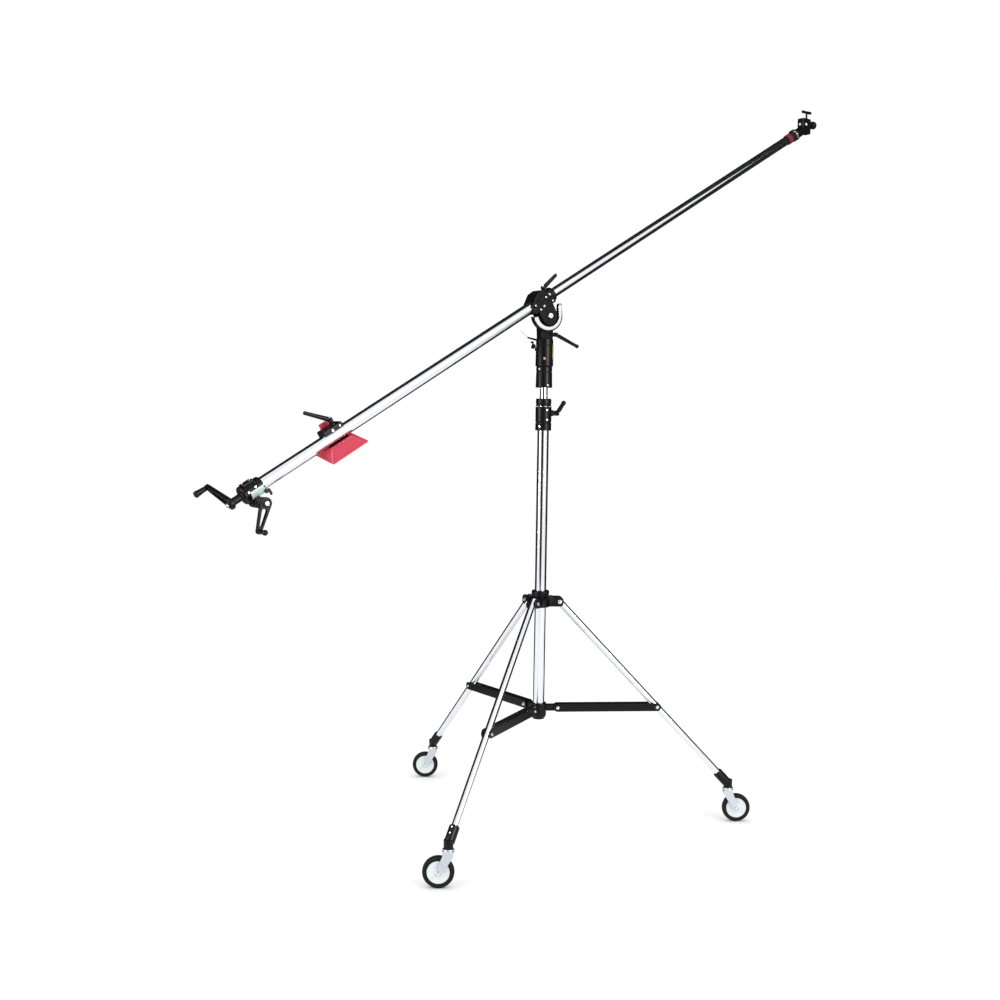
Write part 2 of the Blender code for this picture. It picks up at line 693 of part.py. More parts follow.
def build_boom_tubes(boom):
    """The two telescoping boom tubes, the lock collar between them, and the front bearing."""
    line = empty("boom_line", boom, (0, 0, TUBE_OVER_PIVOT), LYING)
    outer = tube(OUTER_R, OUTER_R - TUBE_WALL, TUBE_REAR, TUBE_FRONT)
    piece(outer, "boom_outer_tube", "chrome", line)
    inner = tube(INNER_R, INNER_R - TUBE_WALL, INNER_REAR, INNER_FRONT)
    piece(inner, "boom_inner_tube", "chrome", line)
    ring = tube(INNER_R + 3 * MM, bore(INNER_R, 20), INNER_FRONT - 35 * MM, INNER_FRONT - 18 * MM, 20)
    piece(ring, "boom_end_ring", "ring", line)
    low = CLAMP[1] + GAP
    profile = [
        (24 * MM, COLLAR_FRONT),
        (26 * MM, COLLAR_FRONT - 2 * MM),
        (26 * MM, low),
        (bore(OUTER_R, 24), low),
        (bore(OUTER_R, 24), TUBE_FRONT + GAP),
        (bore(INNER_R, 24), TUBE_FRONT + GAP),
        (bore(INNER_R, 24), COLLAR_FRONT),
    ]
    piece(turned(profile, True, 24), "boom_lock_collar", "black", line)
    bearing_hole = HEAD_SHAFT_R + 0.4 * MM
    bearing = tube(INNER_R - TUBE_WALL - GAP, bearing_hole, INNER_FRONT - 26 * MM, INNER_FRONT - 1 * MM, 20)
    piece(bearing, "shaft_bearing", "alloy", line)
    shaft = tube(ROLL_SHAFT_R, HEAD_SHAFT_R + 0.4 * MM, HOUSING[0] - 2 * MM, -0.100, 16)
    piece(shaft, "drive_shaft_rear", "zinc", line)
    piece(rod(HEAD_SHAFT_R, -0.900, INNER_FRONT, steps=12), "drive_shaft_front", "zinc", line)
    return line


def build_housing(boom):
    """The gear housing on the boom's rear end."""
    axis = TUBE_OVER_PIVOT
    rear, front = HOUSING
    profile = [
        (0, front),
        (25 * MM, front),
        (HOUSING_R, front - 2 * MM),
        (HOUSING_R, rear + 9 * MM),
        (FLANGE_R, rear + 7 * MM),
        (FLANGE_R, rear + 2 * MM),
        (28 * MM, rear),
        (0, rear),
    ]
    housing = piece(turned(profile, steps=20), "gear_housing", "black", boom, (0, 0, axis), LYING)
    along, below = SIDE_SHAFT
    gearbox = tool(rod(GEARBOX_R, -22 * MM, 56 * MM, 2 * MM, 14), boom, (along, 0, axis + below), ACROSS)
    neck = box((along - 16 * MM, -17 * MM, axis + below), (along + 14 * MM, 17 * MM, axis))
    join(housing, gearbox, tool(neck, boom))
    seat = tool(rod(bore(OUTER_R, 24), TUBE_REAR - GAP, -1.1), boom, (0, 0, axis), LYING)
    shaft_hole = tool(rod(bore(ROLL_SHAFT_R, 12), -1.40, -1.2, steps=12), boom, (0, 0, axis), LYING)
    side_hole = rod(bore(TILT_SHAFT_R, 12), -10 * MM, 80 * MM, steps=12)
    side_hole = tool(side_hole, boom, (along, 0, axis + below), ACROSS)
    cut(housing, seat, shaft_hole, side_hole)


def build_crank(name, frame, length, grip_length, hub_low):
    """A hand crank in its own frame: hub on local Z, arm along +X, and a free-turning grip along +Z."""
    thick = CRANK_THICKNESS
    arm = piece(plate(strap(length, 19 * MM, 9 * MM, 6), 0, thick), name + "_crank_arm", "black", frame)
    window = plate(strap(length * 0.45, 7 * MM, 4 * MM, 4), -5 * MM, thick + 5 * MM)
    cut(arm, tool(window, frame, (25 * MM, 0, 0)))
    hub = tool(rod(12 * MM, hub_low, thick + 4 * MM, steps=14), frame)
    pin = tool(rod(CRANK_PIN_R, 4 * MM, thick + grip_length, steps=10), frame, (length, 0, 0))
    join(arm, hub, pin)
    grip = [
        (9 * MM, thick + grip_length),
        (11 * MM, thick + grip_length - 5 * MM),
        (9 * MM, thick + 22 * MM),
        (8 * MM, thick + 1 * MM),
        (bore(CRANK_PIN_R, 14), thick + 1 * MM),
        (bore(CRANK_PIN_R, 14), thick + grip_length),
    ]
    piece(turned(grip, True, 14), name + "_crank_grip", "black", frame, (length, 0, 0))
    return arm


def build_cranks(boom):
    """The rear crank that rolls the head, and the side crank that tilts it."""
    axis = TUBE_OVER_PIVOT
    roll_length = math.hypot(114 * MM, 50 * MM)
    roll = empty("roll_crank_axis", boom, (ROLL_CRANK, 0, axis), (0, -math.pi / 2, 0))
    own = empty("roll_crank_turn", roll, turn=(0, 0, math.atan2(114, 50)))
    hub_low = ROLL_CRANK - HOUSING[0] + 2 * MM + GAP
    build_crank("roll", own, roll_length, 42 * MM, hub_low)
    along, below = SIDE_SHAFT
    side = empty("tilt_crank_axis", boom, (along, -60 * MM, axis + below), ACROSS)
    own = empty("tilt_crank_turn", side, turn=(0, 0, math.radians(225)))
    arm = build_crank("tilt", own, 86 * MM, 46 * MM, -1 * MM)
    join(arm, tool(rod(TILT_SHAFT_R, -60 * MM, 3 * MM, steps=12), own))


def build_counterweight(boom):
    """The sliding counterweight with its jaw and clamping lever."""
    frame = empty("counterweight_slide", boom, (WEIGHT_AT, 0, TUBE_OVER_PIVOT))
    block = box((-1, -1, -1), (1, 1, 1), 6 * MM, 2)
    half_top, half_bottom = 44 * MM, 75 * MM
    for vert in block.data.vertices:
        up, far = vert.co.z > 0, vert.co.y > 0
        x = half_top if up else half_bottom
        y = (34 if up else 46) * MM if far else -(30 if up else 55) * MM
        z = -22.5 * MM if up else (-30 * MM if far else -63 * MM)
        vert.co = (math.copysign(x, vert.co.x), y, z)
    weight = piece(block, "counterweight", "red", frame)
    wall = box((-half_top, 32.5 * MM, -34 * MM), (half_top, 44 * MM, 58 * MM), 3 * MM)
    join(weight, tool(wall, frame))
    jaw_block = box((-37 * MM, -14 * MM, -22.2 * MM), (37 * MM, 32.2 * MM, 32 * MM), 3 * MM)
    jaw = piece(jaw_block, "counterweight_jaw", "black", frame)
    mouth = tool(box((-50 * MM, -40 * MM, -19.5 * MM), (50 * MM, 0, 12 * MM)), frame)
    tube_hole = tool(rod(bore(OUTER_R, 24), -60 * MM, 60 * MM), frame, turn=LYING)
    boss = tool(rod(11 * MM, 26 * MM, 38 * MM, steps=12), frame, (12 * MM, 4 * MM, 0))
    join(jaw, boss)
    cut(jaw, tube_hole, mouth)
    place_hub = (12 * MM, 4 * MM, 38.3 * MM)
    hub, radii = (8 * MM, 43 * MM), (8 * MM, 6 * MM)
    lever("counterweight_lever", frame, place_hub, (0, 0, math.pi), hub, 80 * MM, 0.5, radii)


def build_head(boom):
    """The boom's head: rolling fork, tilting socket block, knob, T-handle and pivot bolt."""
    axis = TUBE_OVER_PIVOT
    start = INNER_FRONT + 0.5 * MM
    collar = rod(22 * MM, start, start + 22 * MM, 2 * MM, 16)
    fork = piece(collar, "head_fork", "black", boom, (0, 0, axis), LYING)
    reach = HEAD_PIVOT - start
    outline = [(16 * MM, 13 * MM), (16 * MM, -13 * MM)] + arc(reach, 0, 13 * MM, -90, 90, 8)
    for low in (-22 * MM, 15.6 * MM):
        join(fork, tool(plate(outline, low, low + 6.4 * MM), boom, (start, 0, axis), ACROSS))
    fork_hole = rod(HEAD_BOLT_R + GAP, -THROUGH, THROUGH, steps=12)
    cut(fork, tool(fork_hole, boom, (HEAD_PIVOT, 0, axis), ACROSS))
    level = empty("head_tilt_axis", boom, (HEAD_PIVOT, 0, axis), (0, BOOM_PITCH, 0))
    block = box((-14 * MM, -15 * MM, -14 * MM), (34 * MM, 15 * MM, 46 * MM), 3 * MM)
    socket = piece(block, "head_block", "black", level)
    bolt_hole = tool(rod(HEAD_BOLT_R + GAP, -THROUGH, THROUGH, steps=12), level, turn=ACROSS)
    spigot_hole = tool(rod(SPIGOT_SOCKET_R, -THROUGH, 30 * MM, steps=16), level, (19 * MM, 0, 0))
    cut(socket, bolt_hole, spigot_hole)
    bolt = [
        (0, 27 * MM),
        (8 * MM, 27 * MM),
        (8 * MM, 22.4 * MM),
        (HEAD_BOLT_R, 22.4 * MM),
        (HEAD_BOLT_R, -22.4 * MM),
        (8 * MM, -22.4 * MM),
        (8 * MM, -27 * MM),
        (0, -27 * MM),
    ]
    piece(turned(bolt, steps=12), "head_pivot_bolt", "zinc", boom, (HEAD_PIVOT, 0, axis), ACROSS)
    knob = [
        (0, 36 * MM),
        (13 * MM, 36 * MM),
        (16 * MM, 32 * MM),
        (15 * MM, 18 * MM),
        (10 * MM, 14 * MM),
        (KNOB_STUD_R, 14 * MM),
        (KNOB_STUD_R, GAP),
        (0, GAP),
    ]
    piece(turned(knob, steps=14), "head_knob", "black", level, (34 * MM, 0, 27 * MM), LYING)
    stalk = rod(4 * MM, GAP, 25 * MM, steps=12)
    handle = piece(stalk, "head_t_handle", "black", level, (22 * MM, 0, 46 * MM))
    bar = tool(rod(6 * MM, -24 * MM, 24 * MM, 2 * MM, 12), level, (22 * MM, 0, 73 * MM), LYING)
    join(handle, bar)


def main():
    """Builds the whole stand."""
    clear_scene()
    stand = empty("stand", at=(COLUMN_X, COLUMN_Y, 0))
    build_column(stand)
    collar = build_leg_collar(stand)
    for index in range(len(LEG_NAMES)):
        build_leg(collar, index)
        build_arm(stand, index)
        side = empty("caster_side_" + LEG_NAMES[index], collar, turn=(0, 0, LEG_AZIMUTHS[index]))
        build_caster(side, index)
    build_risers(stand)
    build_receiver(stand)
    boom = empty("boom_tilt", stand, (0, 0, PIVOT_Z), (0, -BOOM_PITCH, 0))
    build_clamp(boom)
    build_boom_tubes(boom)
    build_housing(boom)
    build_cranks(boom)
    build_counterweight(boom)
    build_head(boom)


main()
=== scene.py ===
"""Looks of the wheeled boom stand: fine meshes, finishes, floor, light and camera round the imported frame."""

from __future__ import annotations

import json
import logging
import math
from dataclasses import dataclass
from enum import Enum
from typing import Any, Sequence

import bmesh
import bpy
from mathutils import Matrix, Vector

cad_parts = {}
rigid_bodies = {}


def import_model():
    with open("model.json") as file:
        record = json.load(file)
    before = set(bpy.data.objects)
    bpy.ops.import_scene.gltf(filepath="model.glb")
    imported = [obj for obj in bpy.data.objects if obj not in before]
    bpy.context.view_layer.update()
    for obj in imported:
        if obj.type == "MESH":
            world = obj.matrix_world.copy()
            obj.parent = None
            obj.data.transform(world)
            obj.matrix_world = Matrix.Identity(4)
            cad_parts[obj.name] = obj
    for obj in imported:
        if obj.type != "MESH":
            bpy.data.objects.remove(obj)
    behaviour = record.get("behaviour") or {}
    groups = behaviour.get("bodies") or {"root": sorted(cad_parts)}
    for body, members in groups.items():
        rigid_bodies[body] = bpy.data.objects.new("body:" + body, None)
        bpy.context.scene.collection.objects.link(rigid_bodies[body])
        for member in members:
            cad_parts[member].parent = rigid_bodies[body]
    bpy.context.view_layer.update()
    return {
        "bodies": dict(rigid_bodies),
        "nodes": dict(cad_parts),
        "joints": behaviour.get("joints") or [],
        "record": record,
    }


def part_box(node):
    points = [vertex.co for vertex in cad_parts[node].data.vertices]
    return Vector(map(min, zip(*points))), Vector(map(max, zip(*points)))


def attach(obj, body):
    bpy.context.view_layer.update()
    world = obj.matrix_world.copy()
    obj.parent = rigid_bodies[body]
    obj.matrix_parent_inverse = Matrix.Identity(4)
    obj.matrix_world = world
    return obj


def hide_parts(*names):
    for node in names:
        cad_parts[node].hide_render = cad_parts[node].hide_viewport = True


LOG = logging.getLogger("boom_stand")
MM = 0.001
FIT = 0.2 * MM
SEAT_GAP = 0.3 * MM
SHARP_EDGE = math.radians(24)
UP = Vector((0, 0, 1))
Point = tuple[float, float]
Colour = tuple[float, float, float]


class Side(Enum):
    """The three legs, by the name that their nodes carry."""

    REAR = "rear"
    FRONT = "front"
    SIDE = "side"


# ---------------------------------------------------------------- shader graphs


class Value:
    """A shader socket whose arithmetic adds Math nodes to its graph."""

    def __init__(self, graph: "Graph", socket: Any) -> None:
        """Wraps one output socket of a graph.

        Args:
            graph: The graph that owns the socket.
            socket: The output socket.
        """
        self.graph = graph
        self.socket = socket

    def _math(self, operation: str, first: Any, second: Any) -> "Value":
        """Adds one Math node.

        Args:
            operation: Blender's name for the operation.
            first: The first operand.
            second: The second operand.

        Returns:
            The node's output.
        """
        return self.graph.node("ShaderNodeMath", {"operation": operation}, {0: first, 1: second})

    def __add__(self, other: Any) -> "Value":
        """Sum."""
        return self._math("ADD", self, other)

    def __radd__(self, other: Any) -> "Value":
        """Sum with a plain number first."""
        return self._math("ADD", other, self)

    def __sub__(self, other: Any) -> "Value":
        """Difference."""
        return self._math("SUBTRACT", self, other)

    def __rsub__(self, other: Any) -> "Value":
        """Difference from a plain number."""
        return self._math("SUBTRACT", other, self)

    def __mul__(self, other: Any) -> "Value":
        """Product."""
        return self._math("MULTIPLY", self, other)

    def __rmul__(self, other: Any) -> "Value":
        """Product with a plain number first."""
        return self._math("MULTIPLY", other, self)


class Graph:
    """One material's node tree, with a Principled shader at its end."""

    def __init__(self, name: str) -> None:
        """Makes an empty material.

        Args:
            name: The material's name.
        """
        self.material = bpy.data.materials.new(name)
        self.material.use_nodes = True
        self.tree = self.material.node_tree
        self.shader = self.tree.nodes["Principled BSDF"]

    def node(self, kind: str, settings: dict[str, Any] | None = None, inputs: dict[Any, Any] | None = None,
             output: Any = 0) -> Value:
        """Adds any node.

        Args:
            kind: The node's type.
            settings: Attributes to set first; "stops" fills a colour ramp.
            inputs: Socket values or links by name or index.
            output: The output to return, by name or index.

        Returns:
            The chosen output.
        """
        made = self.tree.nodes.new(kind)
        for key, value in (settings or {}).items():
            if key == "stops":
                self._fill_ramp(made.color_ramp, value)
            else:
                setattr(made, key, value)
        for key, value in (inputs or {}).items():
            self._feed(made.inputs[key], value)
        return Value(self, made.outputs[output])

    def _fill_ramp(self, ramp: Any, stops: Sequence[tuple[float, float]]) -> None:
        """Sets a ramp's grey stops.

        Args:
            ramp: The colour ramp.
            stops: (position, brightness) pairs.
        """
        while len(ramp.elements) < len(stops):
            ramp.elements.new(0.5)
        for element, (position, grey) in zip(ramp.elements, stops):
            element.position = position
            element.color = (grey, grey, grey, 1)

    def _feed(self, socket: Any, value: Any) -> None:
        """Links a value to a socket, or sets it.

        Args:
            socket: The input socket.
            value: A Value, a number or a tuple.
        """
        if isinstance(value, Value):
            self.tree.links.new(value.socket, socket)
        elif isinstance(value, tuple) and socket.type == "RGBA":
            socket.default_value = (*value, 1)
        else:
            socket.default_value = value

    def place(self, stretch: Colour = (1, 1, 1)) -> Value:
        """The piece's own coordinates in metres.

        Args:
            stretch: A scale for each axis.

        Returns:
            The scaled coordinates.
        """
        own = self.node("ShaderNodeTexCoord", output="Object")
        return self.node("ShaderNodeMapping", {}, {"Vector": own, "Scale": stretch})

    def noise(self, place: Value, scale: float, detail: float = 3, rough: float = 0.55) -> Value:
        """A noise between 0 and 1.

        Args:
            place: Its coordinates.
            scale: Its frequency, per metre.
            detail: Its octaves.
            rough: How strong the fine octaves are.

        Returns:
            The noise.
        """
        values = {"Vector": place, "Scale": scale, "Detail": detail, "Roughness": rough}
        return self.node("ShaderNodeTexNoise", {}, values, "Fac")

    def steps(self, value: Value, *stops: tuple[float, float]) -> Value:
        """A value through a grey ramp.

        Args:
            value: The ramp's factor.
            stops: (position, brightness) pairs.

        Returns:
            The ramp's output.
        """
        return self.node("ShaderNodeValToRGB", {"stops": stops}, {"Fac": value}, "Color")

    def blend(self, factor: Value, first: Any, second: Any) -> Value:
        """Mixes two colours.

        Args:
            factor: 0 for the first, 1 for the second.
            first: A colour or a link.
            second: A colour or a link.

        Returns:
            The mixed colour.
        """
        inputs = {"Factor": factor, 6: first, 7: second}
        return self.node("ShaderNodeMix", {"data_type": "RGBA"}, inputs, 2)

    def bump(self, height: Value, depth: float, strength: float = 1.0) -> Value:
        """A normal from a height.

        Args:
            height: 0 to 1.
            depth: The height of 1, in metres.
            strength: How much of it counts.

        Returns:
            The normal.
        """
        inputs = {"Height": height, "Distance": depth, "Strength": strength}
        return self.node("ShaderNodeBump", {}, inputs, "Normal")

    def done(self, **sockets: Any) -> bpy.types.Material:
        """Feeds the Principled shader.

        Args:
            sockets: Its sockets, with _ for a space.

        Returns:
            The finished material.
        """
        for key, value in sockets.items():
            self._feed(self.shader.inputs[key.replace("_", " ")], value)
        return self.material


# ---------------------------------------------------------------- finishes


@dataclass(frozen=True)
class Plating:
    """Bright plating with faint drawing marks along the tube and a slight haze."""

    name: str = "bright_plating"
    colour: Colour = (0.86, 0.87, 0.90)
    haze_colour: Colour = (0.74, 0.77, 0.82)
    roughness: float = 0.05
    haze: float = 0.07

    def build(self) -> bpy.types.Material:
        """The finish as a material."""
        graph = Graph(self.name)
        haze = graph.noise(graph.place((1, 1, 0.12)), 60)
        marks = graph.noise(graph.place((1, 1, 0.02)), 900, 2)
        specks = graph.steps(graph.noise(graph.place(), 420, 2), (0.70, 0.0), (0.76, 1.0))
        colour = graph.blend(haze, self.colour, self.haze_colour)
        rough = self.roughness + self.haze * haze + 0.06 * specks
        return graph.done(
            Base_Color=colour, Metallic=1.0, Roughness=rough, Normal=graph.bump(marks, 0.002 * MM, 0.12)
        )


@dataclass(frozen=True)
class Enamel:
    """Sprayed enamel over a casting: orange peel, faint dust and rubbed patches."""

    name: str
    colour: Colour
    rubbed: Colour
    roughness: float = 0.30
    peel: float = 0.05 * MM
    coat: float = 0.0
    shine: float = 0.16

    def build(self) -> bpy.types.Material:
        """The finish as a material."""
        graph = Graph(self.name)
        own = graph.place()
        cloud = graph.noise(own, 45, 4)
        peel = graph.noise(own, 620, 2)
        grit = graph.noise(own, 2200, 2)
        rubbed = graph.steps(graph.noise(own, 130, 5, 0.7), (0.52, 0.0), (0.72, 1.0))
        colour = graph.blend(rubbed * 0.6, self.colour, self.rubbed)
        rough = self.roughness + 0.16 * cloud + 0.10 * rubbed
        height = peel * 0.75 + grit * 0.25
        return graph.done(
            Base_Color=colour,
            Roughness=rough,
            Specular_IOR_Level=self.shine,
            Coat_Weight=self.coat,
            Coat_Roughness=0.12,
            Normal=graph.bump(height, self.peel, 0.8),
        )


@dataclass(frozen=True)
class Moulding:
    """Moulded plastic or rubber: a fine spark-eroded grain and scuffs."""

    name: str
    colour: Colour
    scuff: Colour
    roughness: float = 0.5
    grain: float = 0.06 * MM
    shine: float = 0.16

    def build(self) -> bpy.types.Material:
        """The finish as a material."""
        graph = Graph(self.name)
        own = graph.place()
        grain = graph.noise(own, 1500, 3, 0.7)
        scuffs = graph.steps(graph.noise(own, 170, 5, 0.75), (0.50, 0.0), (0.70, 1.0))
        colour = graph.blend(scuffs * 0.7, self.colour, self.scuff)
        rough = self.roughness + 0.14 * scuffs + 0.08 * grain
        normal = graph.bump(grain, self.grain, 0.7)
        return graph.done(Base_Color=colour, Roughness=rough, Specular_IOR_Level=self.shine, Normal=normal)


@dataclass(frozen=True)
class ZincPlate:
    """Zinc plated pressing: a blue-grey spangle with dull patches."""

    name: str = "zinc_plate"
    colour: Colour = (0.70, 0.74, 0.80)
    dull: Colour = (0.52, 0.56, 0.62)
    roughness: float = 0.24

    def build(self) -> bpy.types.Material:
        """The finish as a material."""
        graph = Graph(self.name)
        own = graph.place()
        spangle = graph.node("ShaderNodeTexVoronoi", {}, {"Vector": own, "Scale": 380.0}, "Distance")
        cloud = graph.noise(own, 90, 4)
        colour = graph.blend(cloud, self.colour, self.dull)
        rough = self.roughness + 0.18 * cloud + 0.08 * spangle
        normal = graph.bump(spangle, 0.02 * MM, 0.4)
        return graph.done(Base_Color=colour, Metallic=1.0, Roughness=rough, Normal=normal)


@dataclass(frozen=True)
class TurnedMetal:
    """Machined metal with fine rings about the piece's own axis."""

    name: str
    colour: Colour
    roughness: float = 0.14

    def build(self) -> bpy.types.Material:
        """The finish as a material."""
        graph = Graph(self.name)
        rings = graph.noise(graph.place((0.05, 0.05, 1)), 1800, 2)
        cloud = graph.noise(graph.place(), 110, 3)
        shade = tuple(0.8 * part for part in self.colour)
        return graph.done(
            Base_Color=graph.blend(cloud, self.colour, shade),
            Metallic=1.0,
            Roughness=self.roughness + 0.12 * rings,
            Normal=graph.bump(rings, 0.02 * MM, 0.5),
        )


@dataclass(frozen=True)
class Film:
    """A printed film: flat ink with worn flecks and a soft shine."""

    name: str
    ink: Colour
    worn: Colour

    def build(self) -> bpy.types.Material:
        """The finish as a material."""
        graph = Graph(self.name)
        own = graph.place()
        flecks = graph.steps(graph.noise(own, 700, 4, 0.7), (0.58, 0.0), (0.66, 1.0))
        cloud = graph.noise(own, 140, 3)
        return graph.done(
            Base_Color=graph.blend(flecks, self.ink, self.worn),
            Roughness=0.35 + 0.2 * cloud,
            Normal=graph.bump(cloud, 0.03 * MM, 0.5),
        )


BLACK = Enamel("black_enamel", (0.004, 0.004, 0.005), (0.011, 0.011, 0.013), 0.24)
RED = Enamel("red_enamel", (0.60, 0.050, 0.090), (0.72, 0.11, 0.15), 0.30, 0.06 * MM, 0.1)
RED_EDGE = Enamel("dark_red_enamel", (0.20, 0.020, 0.035), (0.30, 0.05, 0.07))
GRIP = Moulding("black_grip", (0.004, 0.004, 0.005), (0.016, 0.016, 0.018), 0.36)
TYRE = Moulding("tyre_rubber", (0.006, 0.006, 0.006), (0.022, 0.022, 0.021), 0.6, 0.12 * MM)
DISC = Moulding("pale_disc", (0.80, 0.85, 0.85), (0.62, 0.67, 0.68), 0.28, 0.02 * MM)
CHROME = Plating()
ZINC = ZincPlate()
ALLOY = TurnedMetal("polished_alloy", (0.93, 0.94, 0.95), 0.10)
STEEL = TurnedMetal("bright_steel", (0.80, 0.82, 0.84))
CREAM_DOT = Film("cream_dot", (0.88, 0.80, 0.62), (0.70, 0.62, 0.45))
PALE_ROD = Moulding("pale_rod", (0.60, 0.61, 0.62), (0.45, 0.46, 0.47), 0.4)
# Mint for the half sleeve under the gear barrel: a painted reflection of the plated tube.
MINT_PAINTED_REFLECTION = Enamel("mint_painted_reflection", (0.62, 0.80, 0.74), (0.72, 0.86, 0.82), 0.22, 0.03 * MM, 0.5)
WHITE_DOT = Film("white_dot", (0.90, 0.90, 0.90), (0.70, 0.70, 0.72))
TAG_GREEN = Film("green_tag", (0.62, 0.74, 0.16), (0.50, 0.60, 0.14))
ORANGE = Film("orange_mark", (0.80, 0.30, 0.12), (0.60, 0.22, 0.10))
Finish = Plating | Enamel | Moulding | ZincPlate | TurnedMetal | Film


# ---------------------------------------------------------------- mesh work


def arc(centre: Point, radius: float, start: float, end: float, count: int = 12) -> list[Point]:
    """Points along a circle's arc.

    Args:
        centre: The circle's centre.
        radius: Its radius.
        start: The first angle, in degrees.
        end: The last angle, in degrees.
        count: How many steps.

    Returns:
        The points.
    """
    angles = [math.radians(start + (end - start) * i / count) for i in range(count + 1)]
    return [(centre[0] + radius * math.cos(a), centre[1] + radius * math.sin(a)) for a in angles]


def mm(*points: tuple[float, ...]) -> list[Any]:
    """Points given in millimetres, in metres."""
    return [tuple(part * MM for part in point) for point in points]


def rod(radius: float, high: float, low: float, foot: float | None = None) -> list[Point]:
    """The profile of a rod or a cone, given in millimetres.

    Args:
        radius: Its radius at the top.
        high: Its upper end.
        low: Its lower end.
        foot: Its radius at the lower end; that of the top if left out.

    Returns:
        The profile, in metres.
    """
    return mm((0, high), (radius, high), (radius if foot is None else foot, low), (0, low))


def strap(length: float, wide: float, narrow: float, count: int = 16) -> list[Point]:
    """The outline of a tapered bar with round ends, from the origin along +X.

    Args:
        length: Between the two end centres.
        wide: The radius at the origin.
        narrow: The radius at the far end.
        count: Steps round each end.

    Returns:
        The outline.
    """
    return arc((0, 0), wide, 90, 270, count) + arc((length, 0), narrow, -90, 90, count)


def softened(profile: Sequence[Point], radius: float, closed: bool = False, count: int = 4) -> list[Point]:
    """A profile with its corners rounded.

    Args:
        profile: (radius, height) corners.
        radius: The rounding, cut down where an edge is short.
        closed: Whether the last point joins the first.
        count: Steps round each corner.

    Returns:
        The rounded profile.
    """
    points = [Vector(p) for p in profile]
    made: list[Point] = []
    total = len(points)
    for i, corner in enumerate(points):
        if not closed and i in (0, total - 1):
            made.append(tuple(corner))
            continue
        back, ahead = points[i - 1] - corner, points[(i + 1) % total] - corner
        reach = min(radius, back.length * 0.45, ahead.length * 0.45)
        start, end = corner + back.normalized() * reach, corner + ahead.normalized() * reach
        for step in range(count + 1):
            t = step / count
            spot = start * (1 - t) ** 2 + corner * 2 * t * (1 - t) + end * t**2
            made.append((spot.x, spot.y))
    return made


def frame_on(origin: Vector, axis: Vector, toward: Vector | None = None) -> Matrix:
    """A frame whose Z lies on an axis.

    Args:
        origin: Its origin.
        axis: Its Z.
        toward: A direction that its X leans to; any if left out.

    Returns:
        The frame.
    """
    z = axis.normalized()
    hint = toward if toward is not None else (Vector((1, 0, 0)) if abs(z.x) < 0.9 else Vector((0, 1, 0)))
    x = (hint - z * hint.dot(z)).normalized()
    made = Matrix((x, z.cross(x), z)).transposed().to_4x4()
    made.translation = origin
    return made


def lying(origin: Sequence[float] = (0, 0, 0)) -> Matrix:
    """A place whose Z runs along the frame's X.

    Args:
        origin: Its origin.

    Returns:
        The place.
    """
    return Matrix.Translation(origin) @ Matrix.Rotation(math.pi / 2, 4, "Y")


def across(origin: Sequence[float] = (0, 0, 0)) -> Matrix:
    """A place whose Z runs along the frame's -Y and whose Y runs up.

    Args:
        origin: Its origin.

    Returns:
        The place.
    """
    return Matrix.Translation(origin) @ Matrix.Rotation(math.pi / 2, 4, "X")


